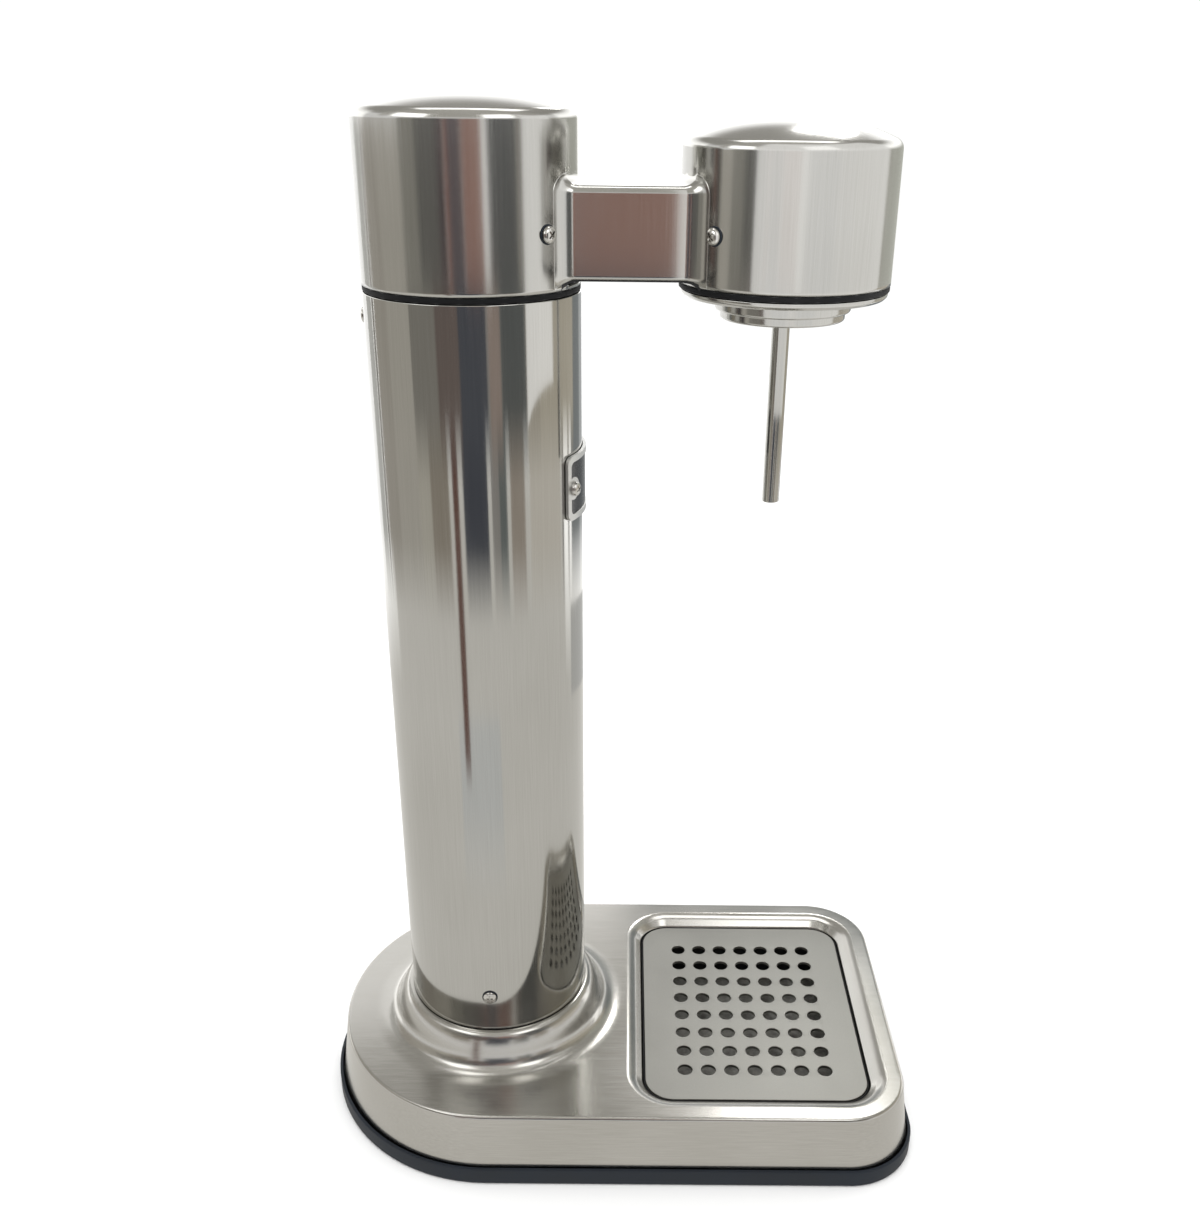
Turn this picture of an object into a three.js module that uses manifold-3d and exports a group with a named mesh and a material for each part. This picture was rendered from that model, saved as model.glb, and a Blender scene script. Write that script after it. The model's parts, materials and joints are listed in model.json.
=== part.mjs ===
// Sparkling water maker with a lever, in millimetres.
// +X is the machine's front, +Y its right-hand side, +Z is up.
// The origin is on the table, in the middle of the base.

import * as THREE from 'three';
import { mergeVertices } from 'three/addons/utils/BufferGeometryUtils.js';
import Module from 'manifold-3d';

const wasm = await Module();
wasm.setup();

// Overall layout
const baseLength = 256;
const baseWidth = 153;
const headReach = 110;

// Clearances shared by all pieces
const gap = 0.3;
const screwGap = 0.3;
const overrun = 2;

// Facets
const drumSegments = 32;
const turnSegments = 24;
const hiddenSegments = 16;
const smallSegments = 12;
const screwSegments = 8;
const backSegments = 18;
const cornerSegments = 4;
const filletSegments = 3;
const domeSegments = 3;

// Gas cylinder, its valve and pin
const cylinderRadius = 30;
const cylinderWall = 2.6;
const cylinderRecess = 2.7;
const cylinderPunt = 8;
const cylinderHeel = 4;
const shoulderHeight = 21;
const neckHeight = 5;
const neckBore = 8.5;
const neckWall = 4.5;
const shoulderSteps = 3;
const valveCollarRadius = 12.5;
const valveCollarHeight = 8.5;
const valveThreadRadius = 10.5;
const valveStemDepth = 16;
const pinRadius = 2.2;
const pinLength = 9.6;
const pinStand = 0.9;

// Column tube, and the socket inside its foot
const columnTop = 349.9;
const columnWall = 1.2;
const socketWall = 3.4;
const cylinderRoom = 3.6;
const columnScrewAboveCollar = 17.6;
const backScrewBelowTop = 9.4;

// Rubber foot ring
const footHeight = 8;
const footProud = 1.6;
const footLedgeWidth = 4;
const footLedgeThickness = 3;
const footRounding = 1.2;

// Base housing
const frontCornerRadius = 30;
const baseTop = 34;
const baseWall = 1.2;
const baseLean = 1;
const baseEndLean = 3;
const baseEdgeRadius = 2;
const backReach = 74.5;
const standOffRadius = 4;
const rearStandOffFromSide = 16.5;
const frontStandOffFromSide = 31.5;
const frontStandOffFromFront = 9.5;

// Flared collar round the column's foot
const flareHeight = 14.8;
const flareWidth = 15.5;
const flareTopLean = 0.4;
// The flare's curve from the column down to its rim, as shares of its width and height
const flareShares = [
  [0, 1],
  [0.16, 0.96],
  [0.27, 0.85],
  [0.33, 0.7],
  [0.37, 0.51],
  [0.47, 0.28],
  [0.69, 0.09],
  [1, 0],
];

// Drip tray
const trayFromFlare = 12;
const trayFromFront = 20.5;
const trayFromSide = 18;
const trayDrop = 3.9;
const grilleCornerRadius = 12;
const lipCornerRadius = 11.5;
const grilleThickness = 1.5;
const holeRadius = 3.15;
const holePitchX = 10.1;
const holePitchY = 11.75;
const holeMarginX = 17.2;
const holeMarginY = 17.4;
const holeSegments = 8;
const panRimWidth = 0.9;
const panRimDrop = 0.5;
const panFlange = 1.6;
const panWall = 1.6;
const panFlangeWidth = 4;
const recessSlopeWidth = 4.6;
const recessCornerRadius = 18;
const recessLip = 0.3;

// Base plate and the socket's flange
const basePlateThickness = 2.5;
const openingRoom = 3;
const socketAboveScrew = 9.7;
const socketFlangeWidth = 9;
const socketFlangeThickness = 3;
const socketScrewCount = 3;
const socketRibCount = 4;
const socketRibThickness = 2.4;
const socketRibHeight = 16;

// Top cover: cap, arm and head drawn as one shell
const coverWall = 1.2;
const capWallHeight = 53.2;
const capDome = 8.4;
const headStepIn = 1.3;
const headLift = 1.4;
const headWallHeight = 43.6;
const headDome = 9.6;
const rimRadius = 3;
const armHalfWidth = 20;
const armRise = 3.6;
const armHeight = 29.8;
const armEdgeRadius = 2.5;
const armRootRadius = 4;
const armTopSteps = 3;
const coverScrewRise = 18.6;
const coverScrewPastArm = 1.9;

// Inner frame
const frameRim = 1.9;
const frameRimInset = 0.2;
const plugDepth = 20;
const plugWall = 3.2;
const postRadius = 3.6;
const postClearance = 0.6;
const postAboveScrew = 5;
const cheekRoom = 1.5;
const cheekThickness = 4;
const cheekWidth = 18;

// Bottle collar, seal and nozzle tube
const bottleMouthRadius = 16.5;
const collarWall = 3.5;
const collarRingStep = 2.3;
const collarRingHeight = 3;
const collarFlangeStep = 1.9;
const collarFlangeHeight = 4.6;
const collarRounding = 1;
const collarBodyHeight = 10.4;
const sealThickness = 2.2;
const nozzleRadius = 3.2;
const nozzleBore = 1.3;
const nozzleLength = 94.3;
const nozzleSeating = 8;

// Head plate and nozzle block
const headPlateStepIn = 0.7;
const headPlateThickness = 2.4;
const headPlateBevel = 1.2;
const nozzleBlockRoom = 2.2;
const nozzleBlockHeight = 18.2;
const nozzleBlockEdge = 1.5;

// Pressure relief valve on the nozzle block
const reliefOffset = 11;
const reliefBodyRadius = 5;
const reliefBodyHeight = 9;
const reliefStemRadius = 3;
const reliefStemHeight = 4;
const reliefCapWall = 1.2;
const reliefCapHeight = 6;

// Gas valve block under the lever
const blockWall = 2.2;
const blockBelowFrame = 26.2;
const blockAboveFrame = 9.4;
const blockFlangeStep = 2.5;
const blockFlangeThickness = 2;
const socketDepth = 17;
const webThickness = 9;
const lockNutWall = 3.2;
const lockNutHeight = 6.5;
const nutSides = 6;
const valveSealThickness = 2;
const valveSealHole = 4;

// Lever, shaft, cam and plunger
const leverRise = 19.6;
const leverTravel = 35;
const plungerTravel = 2.5;
const shaftRadius = 4;
const bushWall = 1.5;
const bushFlange = 1.5;
const bushFlangeStep = 1.7;
const clipWidth = 1;
const clipDepth = 1;
const clipStep = 2.5;
const shaftNearEnd = 1.2;
const camWall = 2.2;
const camWidth = 10;
const camSteps = 7;
const discRadius = 6;
const discThickness = 1.5;
const stemRadius = 2.4;
const springWire = 1.2;
const springRadius = 4.6;
const springTurns = 4.5;
const springSteps = 8;
const springSides = 5;
const hubWall = 6.7;
const hubLength = 10;
const hubStandOff = 0.8;
const shaftSeating = 7.5;
const barThickness = 6;
const barRootHalf = 8;
const barTipHalf = 5.5;
const barPastHead = 2;
const barBevel = 0.8;
const padLength = 40;
const padWidth = 17;
const padHeight = 9;
const padCornerRadius = 8;
const padEdge = 1.6;

// Gas hose through the arm
const hoseRadius = 2.6;
const hoseSides = 8;
const hoseSteps = 12;
const hoseBendStart = 8;
const hoseBendEnd = 27;
const headPortRise = 10.2;
const fittingStubRadius = 2;
const fittingStubLength = 3.5;
const fittingHexRadius = 3.9;
const fittingLength = 7;

// Badge plate on the column's front, with nothing on it
const badgeHeight = 24;
const badgeWidth = 42;
const badgeBelowTop = 67.7;
const badgeThickness = 1.2;
const badgeCorner = 3;
const badgeRim = 2.2;
const badgeRecess = 0.5;
const badgeEarRadius = 4.2;
const badgeScrewInset = 4;

// Screws: head radius, head height, shank radius, shank length, and how wide a head's flat crown is
const crownShare = 0.75;
const coverScrew = { head: 2.8, height: 2, shank: 1.5, length: 7 };
const badgeScrew = { head: 2.6, height: 1.8, shank: 1.2, length: 5 };
const columnScrew = { head: 2.8, height: 1.2, shank: 1.5, length: 5 };
const baseScrew = { head: 3.4, height: 1.6, shank: 1.6, length: 10 };
const socketScrew = { head: 3.4, height: 1.6, shank: 1.6, length: 5 };
const leverScrew = { head: 4, height: 2, shank: 1.5, length: 6 };

// Radii that follow from the pieces inside one another
const socketInnerRadius = cylinderRadius + cylinderRoom;
const socketRadius = socketInnerRadius + socketWall;
const columnBore = socketRadius + gap;
const columnRadius = columnBore + columnWall;
const headRadius = columnRadius - headStepIn;
const headPlateRadius = headRadius - headPlateStepIn;
const collarBodyRadius = bottleMouthRadius + collarWall;
const collarRingRadius = collarBodyRadius + collarRingStep;
const collarFlangeRadius = collarRingRadius + collarFlangeStep;
const headPostReach = headRadius - coverWall - postClearance - postRadius;
const nozzleBlockRadius = headPostReach - postRadius - nozzleBlockRoom;
const blockRadius = valveThreadRadius + gap + blockWall;
const blockFlangeRadius = blockRadius + blockFlangeStep;
const springSeatRadius = discRadius + 2 * gap;
const lockNutRadius = (blockRadius + gap + lockNutWall) / Math.cos(Math.PI / nutSides);
const cheekInside = blockFlangeRadius + cheekRoom;
const bushRadius = shaftRadius + gap + bushWall;
const camBaseRadius = shaftRadius + gap + camWall;
const hubRadius = shaftRadius + gap + hubWall;

// Places along the machine
const columnX = backReach - baseLength / 2;
const headX = columnX + headReach;
const flareRadius = columnRadius + flareWidth;
const trayFront = baseLength / 2 - trayFromFront;
const trayBack = columnX + flareRadius + trayFromFlare;
const trayX = (trayFront + trayBack) / 2;
const grilleLength = trayFront - trayBack;
const grilleWidth = baseWidth - 2 * trayFromSide;

// Heights, from the table up
const basePlateBottom = footLedgeThickness + gap;
const basePlateTop = basePlateBottom + basePlateThickness;
const socketBottom = basePlateTop + gap;
const cylinderBottom = basePlateBottom + cylinderRecess;
const grilleTop = baseTop - trayDrop;
const flareTop = baseTop + flareHeight;
const columnBottom = flareTop + gap;
const columnScrewHeight = flareTop + columnScrewAboveCollar;
const backScrewHeight = columnTop - backScrewBelowTop;
const badgeMiddle = columnTop - badgeBelowTop;
const frameBottom = columnTop + gap;
const frameTop = frameBottom + frameRim;
const coverBottom = frameTop + gap;
const capRim = coverBottom + capWallHeight;
const capApex = capRim + capDome;
const armBottom = coverBottom + armRise;
const armTop = armBottom + armHeight;
const coverScrewHeight = coverBottom + coverScrewRise;
const leverHeight = coverBottom + leverRise;
const headFrameBottom = frameBottom + headLift;
const headFrameTop = frameTop + headLift;
const headCoverBottom = coverBottom + headLift;
const headRim = headCoverBottom + headWallHeight;
const headApex = headRim + headDome;
const headPlateTop = headFrameBottom - gap;
const headPlateBottom = headPlateTop - headPlateThickness;
const flangeTop = headPlateBottom - gap;
const flangeBottom = flangeTop - collarFlangeHeight;
const mouthHeight = flangeBottom - collarRingHeight;
const collarBodyTop = flangeTop + collarBodyHeight;
const nozzleBlockBottom = headFrameTop + gap;
const nozzleBlockTop = nozzleBlockBottom + nozzleBlockHeight;
const collarSocketTop = collarBodyTop + gap;
const nozzleTop = collarSocketTop + nozzleSeating;
const nozzleTip = nozzleTop - nozzleLength;
const blockBottom = frameBottom - blockBelowFrame;
const blockTop = frameTop + blockAboveFrame;
const blockFlangeBottom = frameTop + gap;
const blockFlangeTop = blockFlangeBottom + blockFlangeThickness;
const portHeight = blockFlangeTop + gap + fittingHexRadius;
const hoseHeight = nozzleBlockBottom + headPortRise;
const socketCeiling = blockBottom + socketDepth;
const springSeat = socketCeiling + webThickness;
const plungerTop = leverHeight - camBaseRadius - gap;
const valveTop = socketCeiling - gap - valveSealThickness - gap;
const valveCollarTop = blockBottom - gap;
const neckTop = valveCollarTop - valveCollarHeight - gap;
const neckBottom = neckTop - neckHeight;
const shoulderStart = neckBottom - shoulderHeight;

// Places along the lever shaft, from the column's axis out
const hubStart = columnRadius + hubStandOff;
const shaftStart = -cheekInside - cheekThickness - gap - clipWidth - gap - shaftNearEnd;
const shaftEnd = hubStart + shaftSeating;

// Angles round the column and the head, in degrees
const coverScrewSide = armHalfWidth + armRootRadius + coverScrewPastArm;
const capScrewAngle = THREE.MathUtils.radToDeg(Math.asin(coverScrewSide / columnRadius));
const headScrewAngle = 180 - THREE.MathUtils.radToDeg(Math.asin(coverScrewSide / headRadius));
const badgeScrewSide = badgeWidth / 2 - badgeScrewInset;
const badgeScrewAngle = THREE.MathUtils.radToDeg(Math.asin(badgeScrewSide / columnRadius));

// Finishes
const satinSteel = new THREE.MeshStandardMaterial({ color: 0xaaa69b, roughness: 0.42, metalness: 1 });
const brightSteel = new THREE.MeshStandardMaterial({ color: 0xb9b9b6, roughness: 0.2, metalness: 1 });
const screwSteel = new THREE.MeshStandardMaterial({ color: 0xc9c7c2, roughness: 0.25, metalness: 1 });
const springSteel = new THREE.MeshStandardMaterial({ color: 0x8f9296, roughness: 0.35, metalness: 1 });
const brass = new THREE.MeshStandardMaterial({ color: 0xc2a25c, roughness: 0.35, metalness: 1 });
const paintedSteel = new THREE.MeshStandardMaterial({ color: 0x8d9498, roughness: 0.5, metalness: 0.3 });
const rubber = new THREE.MeshStandardMaterial({ color: 0x20262c, roughness: 0.75, metalness: 0 });
const blackPlastic = new THREE.MeshStandardMaterial({ color: 0x1b1c1e, roughness: 0.6, metalness: 0 });
const whitePlastic = new THREE.MeshStandardMaterial({ color: 0xd9d8d2, roughness: 0.5, metalness: 0 });
const silicone = new THREE.MeshStandardMaterial({ color: 0xb9bcbd, roughness: 0.8, metalness: 0 });

// Six times the volume inside a closed mesh; negative where its faces point inwards
function signedVolume(positions, index) {
  const corner = (i) => new THREE.Vector3().fromBufferAttribute(positions, index.getX(i));
  let total = 0;
  for (let i = 0; i < index.count; i += 3) {
    total += corner(i).dot(corner(i + 1).cross(corner(i + 2)));
  }
  return total;
}

// Closed mesh to solid, with its faces pointing outwards
function solidOf(geometry) {
  const bare = geometry.clone();
  bare.deleteAttribute('normal');
  bare.deleteAttribute('uv');
  const merged = mergeVertices(bare);
  const triangles = new Uint32Array(merged.index.array);
  if (signedVolume(merged.attributes.position, merged.index) < 0) {
    triangles.reverse();
  }
  const mesh = new wasm.Mesh({
    numProp: 3,
    vertProperties: new Float32Array(merged.attributes.position.array),
    triVerts: triangles,
  });
  return new wasm.Manifold(mesh);
}

function geometryOf(solid) {
  const mesh = solid.getMesh();
  const geometry = new THREE.BufferGeometry();
  geometry.setAttribute('position', new THREE.BufferAttribute(mesh.vertProperties, mesh.numProp));
  geometry.setIndex(new THREE.BufferAttribute(mesh.triVerts, 1));
  geometry.computeVertexNormals();
  return geometry;
}

function unite(solids) {
  return solids.reduce((whole, solid) => whole.add(solid));
}

function cut(solid, tools) {
  return tools.reduce((rest, tool) => rest.subtract(tool), solid);
}

function moved(solid, x, y, z) {
  return solid.translate([x, y, z]);
}

// Revolve a profile of [radius, height] points about Z. The profile runs with the solid on its left:
// up the outside, and down the inside where there is a bore.
function revolved(profile, segments = turnSegments) {
  const points = profile.map(([radius, height]) => new THREE.Vector2(radius, height));
  const geometry = new THREE.LatheGeometry(points, segments);
  geometry.rotateX(Math.PI / 2);
  return solidOf(geometry);
}

// A round bar or hole about Z
function rod(radius, bottom, top, segments = turnSegments) {
  return revolved([[0, bottom], [radius, bottom], [radius, top], [0, top]], segments);
}

// A plain ring about Z
function ring(outer, inner, bottom, top, segments = turnSegments) {
  return revolved([[inner, bottom], [outer, bottom], [outer, top], [inner, top], [inner, bottom]], segments);
}

// Turn a solid from the Z axis to point outwards at an angle round Z
function turnedOut(solid, degrees) {
  return solid.rotate([0, 90, degrees]);
}

// Turn a solid from the Z axis to the Y axis
function turnedSide(solid) {
  return solid.rotate([-90, 0, 0]);
}

// Extrude a shape drawn in X and Y between two heights
function prism(shape, bottom, top) {
  const geometry = new THREE.ExtrudeGeometry(shape, {
    depth: top - bottom,
    bevelEnabled: false,
    curveSegments: cornerSegments,
  });
  geometry.translate(0, 0, bottom);
  return solidOf(geometry);
}

// Extrude a shape drawn in X and Z between two places along Y
function sidePrism(shape, near, far) {
  return turnedUpright(prism(shape, -far, -near));
}

// Stand a solid drawn in X and Y upright, so that its Y becomes Z and its Z becomes -Y
function turnedUpright(solid) {
  return solid.rotate([90, 0, 0]);
}

// Points of an arc between two angles in degrees, both ends included
function arc(x, y, radius, from, to, steps) {
  return Array.from({ length: steps + 1 }, (_, i) => {
    const angle = THREE.MathUtils.degToRad(from + (to - from) * i / steps);
    return new THREE.Vector2(x + radius * Math.cos(angle), y + radius * Math.sin(angle));
  });
}

function roundedRectangle(length, width, radius) {
  const x = length / 2 - radius;
  const y = width / 2 - radius;
  return new THREE.Shape([
    ...arc(x, y, radius, 0, 90, cornerSegments),
    ...arc(-x, y, radius, 90, 180, cornerSegments),
    ...arc(-x, -y, radius, 180, 270, cornerSegments),
    ...arc(x, -y, radius, 270, 360, cornerSegments),
  ]);
}

// Skin a stack of closed loops that have the same number of points, and close both ends
function lofted(loops) {
  const count = loops[0].length;
  const positions = loops.flat().flatMap((point) => [point.x, point.y, point.z]);
  const index = [];
  for (let level = 0; level + 1 < loops.length; level += 1) {
    for (let i = 0; i < count; i += 1) {
      const here = level * count + i;
      const next = level * count + (i + 1) % count;
      index.push(here, next, next + count, here, next + count, here + count);
    }
  }
  const closeEnd = (loop, start, reverse) => {
    const middle = loop.reduce((sum, point) => sum.add(point), new THREE.Vector3()).divideScalar(count);
    const centre = positions.length / 3;
    positions.push(middle.x, middle.y, middle.z);
    for (let i = 0; i < count; i += 1) {
      const a = start + i;
      const b = start + (i + 1) % count;
      index.push(centre, reverse ? b : a, reverse ? a : b);
    }
  };
  closeEnd(loops[0], 0, true);
  closeEnd(loops[loops.length - 1], (loops.length - 1) * count, false);
  const geometry = new THREE.BufferGeometry();
  geometry.setAttribute('position', new THREE.Float32BufferAttribute(positions, 3));
  geometry.setIndex(index);
  return solidOf(geometry);
}

// The base's outline, drawn in by an inset all round and by one more at the back and the front:
// a half-round back, straight sides and rounded front corners
function baseOutline(inset, endInset = 0) {
  const radius = baseWidth / 2 - inset;
  const corner = frontCornerRadius - inset;
  const front = baseLength / 2 - inset - endInset;
  const backScale = (backReach - inset - endInset) / radius;
  const back = arc(0, 0, radius, 90, 270, backSegments)
    .map((point) => new THREE.Vector2(columnX + point.x * backScale, point.y));
  return new THREE.Shape([
    ...back,
    ...arc(front - corner, -radius + corner, corner, -90, 0, cornerSegments),
    ...arc(front - corner, radius - corner, corner, 0, 90, cornerSegments),
  ]);
}

// A closed loop of a shape's own points at a height
function loopOf(shape, height) {
  return shape.getPoints(1).map((point) => new THREE.Vector3(point.x, point.y, height));
}

// A body whose outline steps in with height, from a list of [inset, height, endInset] levels
function baseBody(levels) {
  return lofted(levels.map(([inset, height, endInset]) => loopOf(baseOutline(inset, endInset), height)));
}

// Points of a quarter-round from straight up to straight in, as [inset, height, endInset] levels
function edgeLevels(inset, top, endInset, radius, steps) {
  return Array.from({ length: steps + 1 }, (_, i) => {
    const turn = Math.PI / 2 * i / steps;
    return [inset + radius * (1 - Math.cos(turn)), top - radius * (1 - Math.sin(turn)), endInset];
  });
}

const root = new THREE.Group();
const columnGroup = new THREE.Group();
const headGroup = new THREE.Group();
const trayGroup = new THREE.Group();
columnGroup.position.x = columnX;
headGroup.position.x = headX;
trayGroup.position.x = trayX;
root.add(columnGroup, headGroup, trayGroup);

function place(group, name, solid, material) {
  const mesh = new THREE.Mesh(geometryOf(solid), material);
  mesh.name = name;
  group.add(mesh);
  return mesh;
}

// A screw with its head above z = 0 and its shank below
function panScrew({ head, height, shank, length }) {
  return revolved([
    [0, -length],
    [shank, -length],
    [shank, 0],
    [head, 0],
    [head * crownShare, height],
    [0, height],
  ], screwSegments);
}

function screwHole(screw, depth) {
  return rod(screw.shank + screwGap, -depth, overrun, screwSegments);
}

// Place a screw on a wall of the given radius, pointing at the axis
function placeRadialScrew(group, name, screw, wallRadius, degrees, height, material = screwSteel) {
  const mesh = place(group, name, panScrew(screw), material);
  const angle = THREE.MathUtils.degToRad(degrees);
  const outwards = new THREE.Vector3(Math.cos(angle), Math.sin(angle), 0);
  mesh.quaternion.setFromUnitVectors(new THREE.Vector3(0, 0, 1), outwards);
  mesh.position.copy(outwards).multiplyScalar(wallRadius + gap);
  mesh.position.z = height;
}

function radialHole(screw, wallRadius, degrees, height) {
  const hole = moved(screwHole(screw, screw.length + gap), 0, 0, wallRadius + gap);
  return moved(turnedOut(hole, degrees), 0, 0, height);
}

// Rubber foot ring: a wall outside the steel and a ledge under it
function footRing() {
  const outer = baseBody([
    [footRounding / 2, 0],
    [0, footRounding],
    [0, footHeight],
  ]);
  const steelSeat = baseBody([
    [footProud - gap, footLedgeThickness],
    [footProud - gap, footHeight + overrun],
  ]);
  const middle = baseBody([
    [footProud + footLedgeWidth, -overrun],
    [footProud + footLedgeWidth, footHeight + overrun],
  ]);
  return cut(outer, [steelSeat, middle]);
}

// The steel wall's levels, drawn in by the wall's thickness for the inside
function housingLevels(thickness, bottom, steps) {
  const top = baseTop - thickness;
  const radius = baseEdgeRadius - thickness;
  const inset = footProud + thickness;
  return [[inset, bottom, 0], ...edgeLevels(inset + baseLean, top, baseEndLean, radius, steps)];
}

// The flare as [radius, height] points from its rim up to the column, drawn in by a thickness
function flarePoints(thickness) {
  const width = flareWidth - flareTopLean;
  const points = flareShares.map(([reach, rise]) => new THREE.Vector2(
    columnRadius + flareTopLean + reach * width, baseTop + rise * flareHeight)).reverse();
  return points.map((point, i) => {
    const before = points[Math.max(i - 1, 0)];
    const after = points[Math.min(i + 1, points.length - 1)];
    const along = after.clone().sub(before).normalize();
    return [point.x - along.y * thickness, point.y + along.x * thickness];
  });
}

function trayOutline(grow, radius) {
  return roundedRectangle(grilleLength + 2 * grow, grilleWidth + 2 * grow, radius + grow);
}

const pocketGrow = 2 * gap + panRimWidth;
const panFlangeTop = grilleTop - grilleThickness - gap;

// The pressed lip that slopes down to the drip tray
function trayPocket(thickness, above) {
  const lipBottom = grilleTop + recessLip;
  const wide = pocketGrow + recessSlopeWidth + thickness;
  const tight = pocketGrow + thickness;
  const loop = (grow, radius, height) => loopOf(
    roundedRectangle(grilleLength + 2 * grow, grilleWidth + 2 * grow, radius), height);
  const solid = lofted([
    loop(tight, lipCornerRadius + thickness, lipBottom),
    loop(wide, recessCornerRadius + thickness, baseTop - thickness / 2),
    loop(wide, recessCornerRadius + thickness, baseTop + above),
  ]);
  return moved(solid, trayX, 0, 0);
}

function standOffPlaces() {
  const rearX = columnX + flareRadius;
  const rearY = baseWidth / 2 - rearStandOffFromSide;
  const frontX = baseLength / 2 - frontStandOffFromFront;
  const frontY = baseWidth / 2 - frontStandOffFromSide;
  return [
    { name: 'rear_left', x: rearX, y: -rearY },
    { name: 'rear_right', x: rearX, y: rearY },
    { name: 'front_left', x: frontX, y: -frontY },
    { name: 'front_right', x: frontX, y: frontY },
  ];
}

// Steel base housing: walls, top, flared collar and the pressed tray pocket, open below
function baseHousing() {
  const steelBottom = footLedgeThickness + gap;
  const underTop = baseTop - baseWall;
  const flare = revolved([
    [0, underTop],
    [flareRadius, underTop],
    ...flarePoints(0),
    [0, flareTop],
  ], drumSegments);
  const flareHollow = revolved([
    [0, underTop - overrun],
    [flareRadius - baseWall, underTop - overrun],
    ...flarePoints(baseWall),
    [columnBore, flareTop - baseWall],
    [columnBore, flareTop + overrun],
    [0, flareTop + overrun],
  ], drumSegments);
  const shell = baseBody(housingLevels(0, steelBottom, domeSegments));
  const outer = shell.add(moved(flare, columnX, 0, 0));
  const hollow = baseBody(housingLevels(baseWall, steelBottom - overrun, 1));
  const standOffs = standOffPlaces().map(({ x, y }) => moved(
    rod(standOffRadius, socketBottom, underTop, screwSegments), x, y, 0));
  const openingOutline = trayOutline(pocketGrow, lipCornerRadius - pocketGrow);
  const opening = moved(prism(openingOutline, 0, baseTop), trayX, 0, 0);
  const screwHoles = standOffPlaces().map(({ x, y }) => moved(
    screwHole(baseScrew, baseScrew.length), x, y, basePlateBottom + baseScrew.length));
  const cavity = cut(hollow, [trayPocket(baseWall, overrun), ...standOffs]);
  const collarCavity = moved(flareHollow, columnX, 0, 0);
  return cut(outer, [cavity, collarCavity, trayPocket(0, overrun), opening, ...screwHoles]);
}

// Base plate that closes the base, with the opening that the gas cylinder goes in through
function basePlate() {
  const leanShare = (basePlateTop - basePlateBottom) / (baseTop - baseEdgeRadius - basePlateBottom);
  const inset = footProud + baseWall + gap + baseLean * leanShare;
  const endInset = baseEndLean * leanShare;
  const plate = baseBody([[inset, basePlateBottom, endInset], [inset, basePlateTop, endInset]]);
  const opening = moved(rod(cylinderRadius + openingRoom, 0, basePlateTop + overrun), columnX, 0, 0);
  const baseHoles = standOffPlaces().map(({ x, y }) => moved(
    screwHole(baseScrew, baseScrew.length), x, y, basePlateTop));
  const socketHoles = socketScrewPlaces().map(({ x, y }) => moved(
    screwHole(socketScrew, socketScrew.length), columnX + x, y, basePlateTop));
  return cut(plate, [opening, ...baseHoles, ...socketHoles]);
}

function socketScrewPlaces() {
  return Array.from({ length: socketScrewCount }, (_, i) => {
    const angle = Math.PI * 2 * (i + 1 / 2) / socketScrewCount;
    const reach = socketRadius + socketFlangeWidth / 2;
    return { x: reach * Math.cos(angle), y: reach * Math.sin(angle) };
  });
}

// Ribbed sleeve that stands on the base plate and holds the column tube
function columnSocket() {
  const sleeveTop = columnScrewHeight + socketAboveScrew;
  const flangeRadius = socketRadius + socketFlangeWidth;
  const flangeTopHeight = socketBottom + socketFlangeThickness;
  const sleeve = revolved([
    [socketInnerRadius, socketBottom],
    [flangeRadius, socketBottom],
    [flangeRadius, flangeTopHeight],
    [socketRadius, flangeTopHeight],
    [socketRadius, sleeveTop],
    [socketInnerRadius, sleeveTop],
    [socketInnerRadius, socketBottom],
  ], hiddenSegments);
  const ribShape = new THREE.Shape();
  ribShape.moveTo(socketRadius - socketWall / 2, flangeTopHeight - socketFlangeThickness / 2);
  ribShape.lineTo(flangeRadius, flangeTopHeight - socketFlangeThickness / 2);
  ribShape.lineTo(flangeRadius, flangeTopHeight);
  ribShape.lineTo(socketRadius - socketWall / 2, flangeTopHeight + socketRibHeight);
  const rib = sidePrism(ribShape, -socketRibThickness / 2, socketRibThickness / 2);
  const ribs = Array.from({ length: socketRibCount }, (_, i) => rib.rotate([0, 0, 360 * i / socketRibCount]));
  const screwHoles = socketScrewPlaces().map(({ x, y }) => moved(
    screwHole(socketScrew, socketFlangeThickness + gap), x, y, flangeTopHeight));
  const sideHoles = [-90, 90].map((degrees) => radialHole(
    columnScrew, columnRadius, degrees, columnScrewHeight));
  return cut(unite([sleeve, ...ribs]), [...screwHoles, ...sideHoles]);
}

// Drip pan that stands on the base plate: a deep tray, a flange under the grille and a rim round it
function dripPan() {
  const flangeBottom = panFlangeTop - panFlange;
  const panBottom = basePlateTop + gap;
  const bodyGrow = pocketGrow - gap - panFlangeWidth;
  const outline = (grow) => trayOutline(grow, grilleCornerRadius);
  return cut(unite([
    prism(outline(pocketGrow - gap), flangeBottom, grilleTop - panRimDrop),
    prism(outline(bodyGrow), panBottom, flangeBottom + panFlange / 2),
  ]), [
    prism(outline(gap), panFlangeTop, grilleTop + overrun),
    prism(outline(bodyGrow - panWall), panBottom + panWall, grilleTop + overrun),
  ]);
}

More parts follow.
